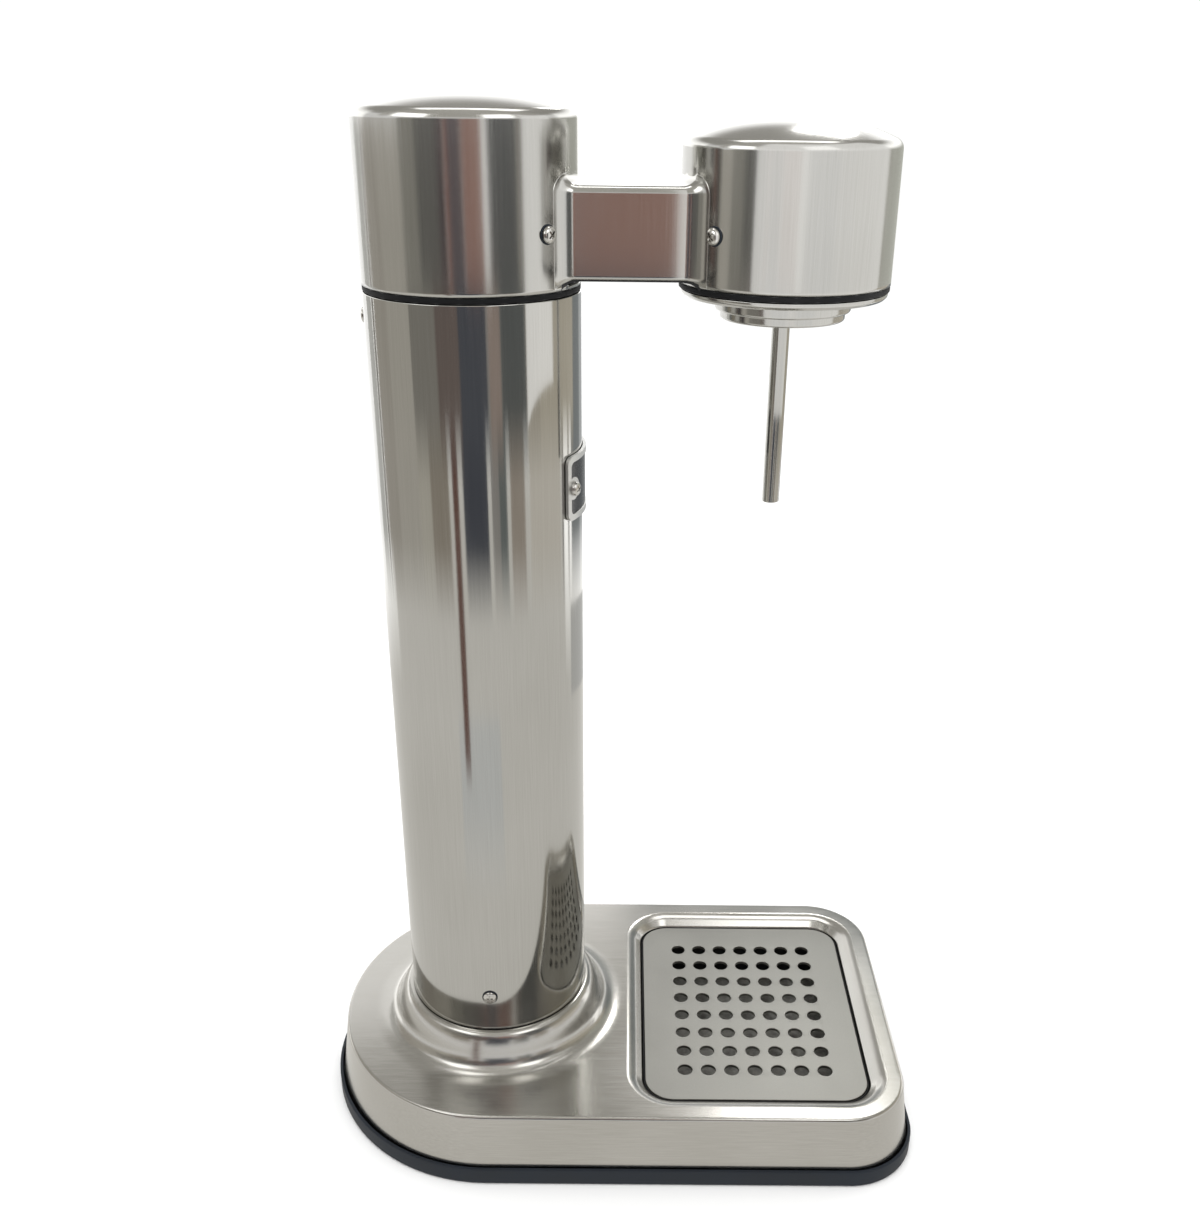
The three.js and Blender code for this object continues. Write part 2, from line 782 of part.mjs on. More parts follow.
// Perforated grille
function dripGrille() {
  const shape = trayOutline(0, grilleCornerRadius);
  const holeColumns = 1 + Math.round((grilleLength - 2 * holeMarginX) / holePitchX);
  const holeRows = 1 + Math.round((grilleWidth - 2 * holeMarginY) / holePitchY);
  for (let column = 0; column < holeColumns; column += 1) {
    for (let row = 0; row < holeRows; row += 1) {
      const x = (column - (holeColumns - 1) / 2) * holePitchX;
      const y = (row - (holeRows - 1) / 2) * holePitchY;
      shape.holes.push(new THREE.Path(arc(x, y, holeRadius, 360, 0, holeSegments)));
    }
  }
  return prism(shape, grilleTop - grilleThickness, grilleTop);
}

// Column tube with its screw holes
function columnTube() {
  const tube = ring(columnRadius, columnBore, columnBottom, columnTop, drumSegments);
  const holes = [-90, 90].map((degrees) => radialHole(columnScrew, columnRadius, degrees, columnScrewHeight));
  const backHole = radialHole(columnScrew, columnRadius, 180, backScrewHeight);
  const badgeHoles = [-badgeScrewAngle, badgeScrewAngle].map((degrees) => radialHole(
    badgeScrew, columnRadius, degrees, badgeMiddle));
  return cut(tube, [...holes, backHole, ...badgeHoles]);
}

// A domed drum: an upright wall, a rounded rim that ends at the dome's own slope, and a shallow dome
function drum(radius, bottom, rim, apex, edge, steps = domeSegments, segments = drumSegments) {
  const profile = [[0, bottom], [radius, bottom], [radius, rim]];
  const slope = 2 * Math.atan2(apex - rim - edge, radius - edge);
  for (let i = 1; i <= steps; i += 1) {
    const turn = (Math.PI / 2 - slope) * i / steps;
    profile.push([radius - edge * (1 - Math.cos(turn)), rim + edge * Math.sin(turn)]);
  }
  const [startRadius, startHeight] = profile[profile.length - 1];
  for (let i = 1; i <= steps; i += 1) {
    const reach = 1 - i / steps;
    profile.push([startRadius * reach, startHeight + (apex - startHeight) * (1 - reach ** 2)]);
  }
  return revolved(profile, segments);
}

// The arm's section as points with their outward directions, from the lower left corner over the top
function armSection(half, bottom, top, edge) {
  const section = [{ y: -half, z: bottom, outY: -1, outZ: -1 }];
  for (let i = 0; i <= filletSegments; i += 1) {
    const turn = Math.PI / 2 * i / filletSegments;
    section.push({
      y: -half + edge * (1 - Math.cos(turn)),
      z: top - edge * (1 - Math.sin(turn)),
      outY: -Math.cos(turn),
      outZ: Math.sin(turn),
    });
  }
  for (let i = 1; i < armTopSteps; i += 1) {
    section.push({ y: (half - edge) * (2 * i / armTopSteps - 1), z: top, outY: 0, outZ: 1 });
  }
  const mirrored = section.slice(0, filletSegments + 2).reverse()
    .map((point) => ({ ...point, y: -point.y, outY: -point.outY }));
  return [...section, ...mirrored];
}

// The arm between two upright cylinders, with a rounded root against each.
// capDrop and headDrop are how far its lower edge turns down at each root.
function armBody({
  half,
  bottom,
  top,
  edge,
  root: rootRadius,
  capRadius,
  headDrumRadius,
  capDrop,
  headDrop,
}) {
  const section = armSection(half, bottom, top, edge);
  const loopAt = (turn, drumRadius, drop, embed, xOf) => {
    const flare = 1 - Math.cos(turn);
    const distance = drumRadius + rootRadius * (1 - Math.sin(turn)) - embed;
    return section.map(({ y, z, outY, outZ }) => {
      const flaredY = y + outY * rootRadius * flare;
      const flaredZ = z + (outZ < 0 ? outZ * drop : outZ * rootRadius) * flare;
      return new THREE.Vector3(xOf(Math.sqrt(distance ** 2 - flaredY ** 2)), flaredY, flaredZ);
    });
  };
  const capLoops = [];
  const headLoops = [];
  const fromCap = (x) => x;
  const fromHead = (x) => headReach - x;
  capLoops.push(loopAt(Math.PI / 2, capRadius, capDrop, rootRadius, fromCap));
  headLoops.push(loopAt(Math.PI / 2, headDrumRadius, headDrop, rootRadius, fromHead));
  for (let i = filletSegments; i >= 0; i -= 1) {
    const turn = Math.PI / 2 * i / filletSegments;
    capLoops.push(loopAt(turn, capRadius, capDrop, 0, fromCap));
    headLoops.push(loopAt(turn, headDrumRadius, headDrop, 0, fromHead));
  }
  return lofted([...capLoops, ...headLoops.reverse()]);
}

// Top cover: cap, arm and head drawn as one thin shell, open below
function topCover() {
  const outside = unite([
    drum(columnRadius, coverBottom, capRim, capApex, rimRadius),
    moved(drum(headRadius, headCoverBottom, headRim, headApex, rimRadius), headReach, 0, 0),
    armBody({
      half: armHalfWidth,
      bottom: armBottom,
      top: armTop,
      edge: armEdgeRadius,
      root: armRootRadius,
      capRadius: columnRadius,
      headDrumRadius: headRadius,
      capDrop: armBottom - coverBottom,
      headDrop: armBottom - headCoverBottom,
    }),
  ]);
  const wall = coverWall;
  const insideDrum = (radius, bottom, rim, apex) => drum(
    radius - wall, bottom - overrun, rim, apex - wall, rimRadius - wall, 1, turnSegments);
  const inside = [
    insideDrum(columnRadius, coverBottom, capRim, capApex),
    moved(insideDrum(headRadius, headCoverBottom, headRim, headApex), headReach, 0, 0),
    armBody({
      half: armHalfWidth - wall,
      bottom: coverBottom - overrun,
      top: armTop - wall,
      edge: armEdgeRadius - wall,
      root: armRootRadius + wall,
      capRadius: columnRadius - wall,
      headDrumRadius: headRadius - wall,
      capDrop: 0,
      headDrop: 0,
    }),
  ];
  const leverHole = turnedSide(rod(shaftRadius + 2 * gap, 0, columnRadius + overrun, smallSegments));
  const screwHoles = [-1, 1].flatMap((side) => [
    radialHole(coverScrew, columnRadius, side * capScrewAngle, coverScrewHeight),
    moved(radialHole(coverScrew, headRadius, side * headScrewAngle, coverScrewHeight), headReach, 0, 0),
  ]);
  return cut(outside, [...inside, moved(leverHole, 0, 0, leverHeight), ...screwHoles]);
}

// The strip of the inner frame that closes the arm from inside, bent down at both roots like the cover's edge
function armStrip() {
  const half = armHalfWidth - coverWall - gap;
  const rootRadius = armRootRadius + coverWall + gap;
  const capInside = columnRadius - coverWall - gap;
  const headInside = headRadius - coverWall - gap;
  const under = armBottom - gap - frameRim / 4;
  const lower = [];
  const addBend = (drumRadius, drop, xOf, turns) => turns.forEach((turn) => {
    const distance = drumRadius + rootRadius * (1 - Math.sin(turn));
    const x = xOf(Math.sqrt(distance ** 2 - half ** 2));
    lower.push([x, under - drop * (1 - Math.cos(turn))]);
  });
  const turns = Array.from({ length: filletSegments + 1 }, (_, i) => Math.PI / 2 * i / filletSegments);
  addBend(capInside, under - frameBottom - frameRim / 4, (x) => x, [...turns].reverse());
  addBend(headInside, under - headFrameBottom - frameRim / 4, (x) => headReach - x, turns);
  const upper = lower.map(([x, z]) => [x, z + frameRim]).reverse();
  const shape = new THREE.Shape([...lower, ...upper].map(([x, z]) => new THREE.Vector2(x, z)));
  const outline = armBody({
    half,
    bottom: frameBottom - overrun,
    top: armTop - coverWall - gap,
    edge: armEdgeRadius - coverWall - gap,
    root: rootRadius,
    capRadius: capInside,
    headDrumRadius: headInside,
    capDrop: 0,
    headDrop: 0,
  });
  const reach = armHalfWidth + armRootRadius;
  return sidePrism(shape, -reach, reach).intersect(outline);
}

// Posts that the cover's screws go into, in the cap's or the head's frame
function coverPost(reach, degrees, bottom) {
  const angle = THREE.MathUtils.degToRad(degrees);
  const post = rod(postRadius, bottom, coverScrewHeight + postAboveScrew, screwSegments);
  return moved(post, reach * Math.cos(angle), reach * Math.sin(angle), 0);
}

// Upright plate that carries one of the lever shaft's bushes
function bearingCheek(near) {
  const bottom = frameTop - frameRim / 2;
  const half = cheekWidth / 2;
  const shape = new THREE.Shape([
    new THREE.Vector2(-half, bottom),
    new THREE.Vector2(half, bottom),
    ...arc(0, leverHeight, half, 0, 180, smallSegments / 2),
  ]);
  return sidePrism(shape, near, near + cheekThickness);
}

// Inner frame: two discs joined through the arm, a plug in the column, posts and bearing cheeks
function innerFrame() {
  const capDisc = rod(columnRadius - frameRimInset, frameBottom, frameTop, drumSegments);
  const headDisc = rod(headRadius - frameRimInset, headFrameBottom, headFrameTop, drumSegments);
  const plugOuter = columnBore - gap;
  const plug = ring(plugOuter, plugOuter - plugWall, frameBottom - plugDepth, frameBottom + frameRim / 2,
    drumSegments);
  const capPosts = [-capScrewAngle, capScrewAngle].map((degrees) => coverPost(
    headPostReach + headStepIn, degrees, frameTop - frameRim / 2));
  const headPosts = [-headScrewAngle, headScrewAngle].map((degrees) => moved(
    coverPost(headPostReach, degrees, headFrameTop - frameRim / 2), headReach, 0, 0));
  const body = unite([
    capDisc,
    moved(headDisc, headReach, 0, 0),
    plug,
    armStrip(),
    ...capPosts,
    ...headPosts,
    bearingCheek(cheekInside),
    bearingCheek(-cheekInside - cheekThickness),
  ]);
  const blockHole = rod(blockRadius + gap, frameBottom - overrun, frameTop + overrun);
  const collarHole = moved(rod(collarBodyRadius + gap, headFrameBottom - overrun, headFrameTop + overrun),
    headReach, 0, 0);
  const bushHole = moved(turnedSide(rod(bushRadius + gap, -columnRadius, columnRadius, smallSegments)),
    0, 0, leverHeight);
  const screwHoles = [-1, 1].flatMap((side) => [
    radialHole(coverScrew, columnRadius, side * capScrewAngle, coverScrewHeight),
    moved(radialHole(coverScrew, headRadius, side * headScrewAngle, coverScrewHeight), headReach, 0, 0),
  ]);
  const backHole = radialHole(columnScrew, columnRadius, 180, backScrewHeight);
  return cut(body, [blockHole, collarHole, bushHole, ...screwHoles, backHole]);
}

// Steel plate under the head, with a bevelled lower edge
function headPlate() {
  const hole = collarBodyRadius + gap;
  return revolved([
    [hole, headPlateBottom],
    [headPlateRadius - headPlateBevel, headPlateBottom],
    [headPlateRadius, headPlateBottom + headPlateBevel],
    [headPlateRadius, headPlateTop],
    [hole, headPlateTop],
    [hole, headPlateBottom],
  ], drumSegments);
}

// Bottle collar: a ring and flange that show, and a body that goes up into the head
function bottleCollar() {
  return revolved([
    [bottleMouthRadius, mouthHeight],
    [collarRingRadius - collarRounding, mouthHeight],
    [collarRingRadius, mouthHeight + collarRounding],
    [collarRingRadius, flangeBottom],
    [collarFlangeRadius - collarRounding, flangeBottom],
    [collarFlangeRadius, flangeBottom + collarRounding],
    [collarFlangeRadius, flangeTop],
    [collarBodyRadius, flangeTop],
    [collarBodyRadius, collarBodyTop],
    [bottleMouthRadius, collarBodyTop],
    [bottleMouthRadius, mouthHeight],
  ]);
}

function bottleSeal() {
  return ring(bottleMouthRadius - gap, nozzleRadius + gap, collarBodyTop - sealThickness, collarBodyTop,
    smallSegments);
}

function nozzleTube() {
  return ring(nozzleRadius, nozzleBore, nozzleTip, nozzleTop, smallSegments);
}

// Nozzle block: takes the collar from below, the nozzle tube in its middle and the hose at its side
function nozzleBlock() {
  const collarSocket = collarBodyRadius + gap;
  const tubeBore = nozzleRadius + gap;
  const body = revolved([
    [collarSocket, nozzleBlockBottom],
    [nozzleBlockRadius, nozzleBlockBottom],
    [nozzleBlockRadius, nozzleBlockTop - nozzleBlockEdge],
    [nozzleBlockRadius - nozzleBlockEdge, nozzleBlockTop],
    [0, nozzleBlockTop],
    [0, nozzleTop + gap],
    [tubeBore, nozzleTop + gap],
    [tubeBore, collarSocketTop],
    [collarSocket, collarSocketTop],
    [collarSocket, nozzleBlockBottom],
  ]);
  const port = moved(turnedOut(portHole(nozzleBlockRadius), 180), 0, 0, hoseHeight);
  const reliefPort = moved(rod(reliefStemRadius + gap, -reliefStemHeight - gap, overrun, screwSegments),
    0, reliefOffset, nozzleBlockTop + gap);
  return cut(body, [port, reliefPort]);
}

// Blind hole for a hose fitting's stub, on a wall of the given radius about Z
function portHole(wallRadius) {
  return rod(fittingStubRadius + gap, wallRadius - fittingStubLength, wallRadius + overrun, screwSegments);
}

function reliefBody() {
  return revolved([
    [0, -reliefStemHeight],
    [reliefStemRadius, -reliefStemHeight],
    [reliefStemRadius, 0],
    [reliefBodyRadius, 0],
    [reliefBodyRadius, reliefBodyHeight],
    [0, reliefBodyHeight],
  ], screwSegments);
}

function reliefCap() {
  const bore = reliefBodyRadius + gap;
  const outer = bore + reliefCapWall;
  const skirt = reliefCapHeight / 2;
  return revolved([
    [bore, reliefBodyHeight - skirt],
    [outer, reliefBodyHeight - skirt],
    [outer, reliefBodyHeight + skirt],
    [0, reliefBodyHeight + skirt],
    [0, reliefBodyHeight + gap],
    [bore, reliefBodyHeight + gap],
    [bore, reliefBodyHeight - skirt],
  ], smallSegments);
}

// Brass valve block: screwed socket for the cylinder below, spring seat above, hose port in front
function valveBlock() {
  const socketRadiusInside = valveThreadRadius + gap;
  const stemBore = stemRadius + gap;
  const body = revolved([
    [socketRadiusInside, blockBottom],
    [blockRadius, blockBottom],
    [blockRadius, blockFlangeBottom],
    [blockFlangeRadius, blockFlangeBottom],
    [blockFlangeRadius, blockFlangeTop],
    [blockRadius, blockFlangeTop],
    [blockRadius, blockTop],
    [springSeatRadius, blockTop],
    [springSeatRadius, springSeat],
    [stemBore, springSeat],
    [stemBore, socketCeiling],
    [socketRadiusInside, socketCeiling],
    [socketRadiusInside, blockBottom],
  ], hiddenSegments);
  return cut(body, [moved(turnedOut(portHole(blockRadius), 0), 0, 0, portHeight)]);
}

function lockNut() {
  const nut = rod(lockNutRadius, frameBottom - gap - lockNutHeight, frameBottom - gap, nutSides);
  return nut.subtract(rod(blockRadius + gap, frameBottom - lockNutHeight - overrun, frameBottom + overrun));
}

function cylinderSeal() {
  return ring(valveThreadRadius - gap, valveSealHole, valveTop + gap, valveTop + gap + valveSealThickness,
    smallSegments);
}

// Gas cylinder: punted base, straight wall, round shoulder and a neck that the valve screws into
function gasCylinder() {
  const shoulder = (radius, neck) => Array.from({ length: shoulderSteps + 1 }, (_, i) => {
    const turn = Math.PI / 2 * i / shoulderSteps;
    return [
      neck + (radius - neck) * Math.cos(turn),
      shoulderStart + (neckBottom - shoulderStart) * Math.sin(turn),
    ];
  });
  const insideRadius = cylinderRadius - cylinderWall;
  const insideBottom = cylinderBottom + cylinderPunt + cylinderWall;
  const puntRadius = cylinderRadius - 2 * cylinderHeel;
  return revolved([
    [0, cylinderBottom + cylinderPunt],
    [puntRadius, cylinderBottom + cylinderPunt / 2],
    [cylinderRadius - cylinderHeel, cylinderBottom],
    [cylinderRadius, cylinderBottom + cylinderHeel],
    ...shoulder(cylinderRadius, neckBore + neckWall),
    [neckBore + neckWall, neckTop],
    [neckBore, neckTop],
    ...shoulder(insideRadius, neckBore).reverse().map(([radius, height]) => [radius, height - cylinderWall]),
    [insideRadius, insideBottom],
    [puntRadius - cylinderWall, insideBottom - cylinderPunt / 2 + cylinderWall / 2],
    [0, insideBottom],
  ], hiddenSegments);
}

// Cylinder valve: stem in the neck, collar above it, threaded top with the pin's bore
function cylinderValve() {
  const collarBottom = neckTop + gap;
  const stem = neckBore - gap;
  const pinBore = pinRadius + gap;
  const pinFloor = valveTop + pinStand - pinLength - plungerTravel - gap;
  return revolved([
    [0, collarBottom - valveStemDepth],
    [stem, collarBottom - valveStemDepth],
    [stem, collarBottom],
    [valveCollarRadius, collarBottom],
    [valveCollarRadius, valveCollarTop],
    [valveThreadRadius, valveCollarTop],
    [valveThreadRadius, valveTop],
    [pinBore, valveTop],
    [pinBore, pinFloor],
    [0, pinFloor],
  ], smallSegments);
}

function valvePin() {
  const top = valveTop + pinStand;
  return rod(pinRadius, top - pinLength, top, screwSegments);
}

// Plunger: a disc under the cam and a stem down to the cylinder valve's pin
function plunger() {
  return revolved([
    [0, valveTop + pinStand + gap],
    [stemRadius, valveTop + pinStand + gap],
    [stemRadius, plungerTop - discThickness],
    [discRadius, plungerTop - discThickness],
    [discRadius, plungerTop],
    [0, plungerTop],
  ], smallSegments);
}

class Helix extends THREE.Curve {
  constructor(radius, bottom, top, turns) {
    super();
    this.radius = radius;
    this.bottom = bottom;
    this.top = top;
    this.turns = turns;
  }

  getPoint(share, target = new THREE.Vector3()) {
    const angle = Math.PI * 2 * this.turns * share;
    const height = this.bottom + (this.top - this.bottom) * share;
    return target.set(this.radius * Math.cos(angle), this.radius * Math.sin(angle), height);
  }
}

function roundSection(radius, sides) {
  const points = Array.from({ length: sides }, (_, i) => {
    const angle = Math.PI * 2 * i / sides;
    return new THREE.Vector2(radius * Math.cos(angle), radius * Math.sin(angle));
  });
  return new THREE.Shape(points);
}

function swept(section, path, steps) {
  return solidOf(new THREE.ExtrudeGeometry(section, { steps, bevelEnabled: false, extrudePath: path }));
}

function returnSpring() {
  const wire = springWire / 2;
  const springTop = plungerTop - discThickness - gap - wire;
  const path = new Helix(springRadius, springSeat + gap + wire, springTop, springTurns);
  return swept(roundSection(wire, springSides), path, springTurns * springSteps);
}

// Flanged bush in a bearing cheek, about Z, with its flange on the inner side
function shaftBush() {
  const bore = shaftRadius + gap;
  return revolved([
    [bore, -bushFlange - gap],
    [bushRadius + bushFlangeStep, -bushFlange - gap],
    [bushRadius + bushFlangeStep, -gap],
    [bushRadius, -gap],
    [bushRadius, cheekThickness],
    [bore, cheekThickness],
    [bore, -bushFlange - gap],
  ], smallSegments);
}

// Lever shaft about Z, with a groove for its clip and a tapped hole in its outer end
function leverShaft() {
  const groove = shaftRadius - clipDepth;
  const grooveStart = shaftStart + shaftNearEnd;
  const grooveEnd = grooveStart + clipWidth + gap;
  const bore = leverScrew.shank + screwGap;
  const boreDepth = leverScrew.length;
  return revolved([
    [0, shaftStart],
    [shaftRadius, shaftStart],
    [shaftRadius, grooveStart],
    [groove, grooveStart],
    [groove, grooveEnd],
    [shaftRadius, grooveEnd],
    [shaftRadius, shaftEnd],
    [bore, shaftEnd],
    [bore, shaftEnd - boreDepth],
    [0, shaftEnd - boreDepth],
  ], smallSegments);
}

// Open ring that snaps into the shaft's groove
function shaftClip() {
  const bottom = shaftStart + shaftNearEnd + gap / 2;
  const clipRadius = shaftRadius + clipStep;
  const body = ring(clipRadius, shaftRadius - clipDepth + gap, bottom, bottom + clipWidth, smallSegments);
  const mouth = shaftRadius - clipDepth;
  const slot = prism(new THREE.Shape([
    new THREE.Vector2(0, -mouth),
    new THREE.Vector2(clipRadius + overrun, -mouth),
    new THREE.Vector2(clipRadius + overrun, mouth),
    new THREE.Vector2(0, mouth),
  ]), bottom - overrun, bottom + clipWidth + overrun);
  return body.subtract(slot);
}

// Cam: its lowest point goes down evenly as the lever turns, so its nose is an involute of a circle
function leverCam() {
  const sweep = THREE.MathUtils.degToRad(leverTravel);
  const rate = plungerTravel / sweep;
  const points = [];
  for (let i = 0; i <= camSteps; i += 1) {
    const turn = sweep * i / camSteps;
    const lift = camBaseRadius + rate * turn;
    points.push(new THREE.Vector2(
      lift * Math.sin(turn) + rate * Math.cos(turn),
      -lift * Math.cos(turn) + rate * Math.sin(turn)));
  }
  for (let i = 0; i <= camSteps; i += 1) {
    const turn = Math.PI / 4 + Math.PI * 5 / 4 * i / camSteps;
    points.push(new THREE.Vector2(camBaseRadius * Math.cos(turn), camBaseRadius * Math.sin(turn)));
  }
  const shape = new THREE.Shape(points);
  shape.holes.push(new THREE.Path(arc(0, 0, shaftRadius + gap, 360, 0, smallSegments)));
  return sidePrism(shape, -camWidth / 2, camWidth / 2);
}

// Lever: hub on the shaft's end, a tapering bar beside the arm and a thumb pad at its tip
function leverArm() {
  const hubEnd = hubStart + hubLength;
  const barStart = hubEnd - barThickness;
  const barReach = headReach + barPastHead;
  const hub = turnedSide(rod(hubRadius, hubStart, hubEnd));
  const barShape = new THREE.Shape([
    new THREE.Vector2(0, barRootHalf),
    new THREE.Vector2(0, -barRootHalf),
    ...arc(barReach, 0, barTipHalf, -90, 90, cornerSegments),
  ]);
  const barGeometry = new THREE.ExtrudeGeometry(barShape, {
    depth: barThickness - 2 * barBevel,
    bevelThickness: barBevel,
    bevelSize: barBevel,
    bevelOffset: -barBevel,
    bevelSegments: 1,
    curveSegments: cornerSegments,
  });
  barGeometry.translate(0, 0, barBevel);
  const bar = moved(turnedUpright(solidOf(barGeometry)), 0, barStart + barThickness, 0);
  const padShape = roundedRectangle(padLength, padWidth, padCornerRadius);
  const padGeometry = new THREE.ExtrudeGeometry(padShape, {
    depth: padHeight - 2 * padEdge,
    bevelThickness: padEdge,
    bevelSize: padEdge,
    bevelOffset: -padEdge,
    bevelSegments: 2,
    curveSegments: cornerSegments,
  });
  padGeometry.translate(0, 0, padEdge);
  const padStart = barReach + barTipHalf - padLength / 2;
  const pad = moved(solidOf(padGeometry), padStart, barStart + padWidth / 2, barTipHalf - padHeight);
  const bore = turnedSide(rod(shaftRadius + gap, hubStart - overrun, shaftEnd + gap, smallSegments));
  const screwBore = turnedSide(rod(leverScrew.shank + screwGap, hubStart, hubEnd + overrun, smallSegments));
  return cut(unite([hub, bar, pad]), [bore, screwBore]);
}

// Hose fitting: a stub in the port and a hexagon that the hose pushes on to
function hoseFitting() {
  const stub = rod(fittingStubRadius, gap - fittingStubLength, gap + fittingLength / 2, screwSegments);
  const hexagon = rod(fittingHexRadius, gap, gap + fittingLength, nutSides);
  return unite([stub, hexagon]);
}

// Gas hose from the valve block's port, up into the arm and on to the nozzle block
function gasHose() {
  const start = blockRadius + 2 * gap + fittingLength;
  const end = headReach - nozzleBlockRadius - 2 * gap - fittingLength;
  const path = new THREE.CatmullRomCurve3([
    new THREE.Vector3(start, 0, portHeight),
    new THREE.Vector3(start + hoseBendStart, 0, portHeight),
    new THREE.Vector3(start + hoseBendEnd, 0, hoseHeight),
    new THREE.Vector3(end - hoseBendStart, 0, hoseHeight),
    new THREE.Vector3(end, 0, hoseHeight),
  ]);
  return swept(roundSection(hoseRadius, hoseSides), path, hoseSteps);
}

// Badge plate: a piece of a ring with rounded corners, a raised rim and ears round its screws
function badgePlate() {
  const inner = columnRadius + gap;
  const outer = inner + badgeThickness;
  const reach = overrun + outer;
  const band = (low, high) => ring(high, low, badgeMiddle - badgeHeight, badgeMiddle + badgeHeight,
    drumSegments);
  const window = (inset) => {
    const shape = roundedRectangle(badgeHeight - 2 * inset, badgeWidth - 2 * inset, badgeCorner);
    return moved(prism(shape, 0, reach).rotate([0, 90, 0]), 0, 0, badgeMiddle);
  };
  const ears = [-badgeScrewAngle, badgeScrewAngle].map((degrees) => moved(turnedOut(
    rod(badgeEarRadius, 0, reach, smallSegments), degrees), 0, 0, badgeMiddle));
  const holes = [-badgeScrewAngle, badgeScrewAngle].map((degrees) => radialHole(
    badgeScrew, outer, degrees, badgeMiddle));
  const field = cut(band(outer - badgeRecess, outer + overrun).intersect(window(badgeRim)), ears);
  const plate = band(inner, outer).intersect(window(0));
  return cut(plate, [field, ...holes]);
}

function buildBase() {
  place(root, 'base_housing', baseHousing(), satinSteel);
  place(root, 'foot_ring', footRing(), rubber);
  place(root, 'base_plate', basePlate(), blackPlastic);
  place(columnGroup, 'column_socket', columnSocket(), blackPlastic);
  standOffPlaces().forEach(({ name, x, y }) => {
    const mesh = place(root, `base_screw_${name}`, panScrew(baseScrew), screwSteel);
    mesh.rotation.x = Math.PI;
    mesh.position.set(x, y, basePlateBottom - gap);
  });
  socketScrewPlaces().forEach(({ x, y }, i) => {
    const mesh = place(columnGroup, `socket_screw_${i + 1}`, panScrew(socketScrew), screwSteel);
    mesh.rotation.x = Math.PI;
    mesh.position.set(x, y, basePlateBottom - gap);
  });
}

function buildTray() {
  place(trayGroup, 'drip_pan', dripPan(), blackPlastic);
  place(trayGroup, 'drip_grille', dripGrille(), satinSteel);
}

function buildColumn() {
  place(columnGroup, 'column_tube', columnTube(), brightSteel);
  placeRadialScrew(columnGroup, 'column_screw_left', columnScrew, columnRadius, -90, columnScrewHeight);
  placeRadialScrew(columnGroup, 'column_screw_right', columnScrew, columnRadius, 90, columnScrewHeight);
  placeRadialScrew(columnGroup, 'column_screw_back', columnScrew, columnRadius, 180, backScrewHeight);
  place(columnGroup, 'badge_plate', badgePlate(), brightSteel);
  const badgeFace = columnRadius + gap + badgeThickness;
  placeRadialScrew(columnGroup, 'badge_screw_left', badgeScrew, badgeFace, -badgeScrewAngle, badgeMiddle);
  placeRadialScrew(columnGroup, 'badge_screw_right', badgeScrew, badgeFace, badgeScrewAngle, badgeMiddle);
}

function buildTop() {
  place(columnGroup, 'top_cover', topCover(), brightSteel);
  place(columnGroup, 'inner_frame', innerFrame(), blackPlastic);
  placeRadialScrew(columnGroup, 'cap_screw_left', coverScrew, columnRadius, -capScrewAngle, coverScrewHeight);
  placeRadialScrew(columnGroup, 'cap_screw_right', coverScrew, columnRadius, capScrewAngle, coverScrewHeight);
  placeRadialScrew(headGroup, 'head_screw_left', coverScrew, headRadius, -headScrewAngle, coverScrewHeight);
  placeRadialScrew(headGroup, 'head_screw_right', coverScrew, headRadius, headScrewAngle, coverScrewHeight);
}

function buildHead() {
  place(headGroup, 'head_plate', headPlate(), brightSteel);
  place(headGroup, 'bottle_collar', bottleCollar(), brightSteel);
  place(headGroup, 'bottle_seal', bottleSeal(), silicone);
  place(headGroup, 'nozzle_tube', nozzleTube(), brightSteel);
  place(headGroup, 'nozzle_block', nozzleBlock(), whitePlastic);
  const body = place(headGroup, 'relief_valve_body', reliefBody(), brass);
  const cap = place(headGroup, 'relief_valve_cap', reliefCap(), brass);
  [body, cap].forEach((mesh) => mesh.position.set(0, reliefOffset, nozzleBlockTop + gap));
}

function buildGasTrain() {
  place(columnGroup, 'valve_block', valveBlock(), brass);
  place(columnGroup, 'valve_lock_nut', lockNut(), brass);
  place(columnGroup, 'cylinder_seal', cylinderSeal(), rubber);
  place(columnGroup, 'gas_cylinder', gasCylinder(), paintedSteel);
  place(columnGroup, 'cylinder_valve', cylinderValve(), brass);
  place(columnGroup, 'valve_pin', valvePin(), springSteel);
  place(columnGroup, 'gas_hose', gasHose(), rubber);
  placeFitting(columnGroup, 'hose_fitting_valve', 0, blockRadius, portHeight);
  placeFitting(headGroup, 'hose_fitting_head', Math.PI, nozzleBlockRadius, hoseHeight);
}

function placeFitting(group, name, angle, wallRadius, height) {
  const mesh = place(group, name, hoseFitting(), brass);
  const outwards = new THREE.Vector3(Math.cos(angle), Math.sin(angle), 0);
  mesh.quaternion.setFromUnitVectors(new THREE.Vector3(0, 0, 1), outwards);
  mesh.position.copy(outwards).multiplyScalar(wallRadius);
  mesh.position.z = height;
}

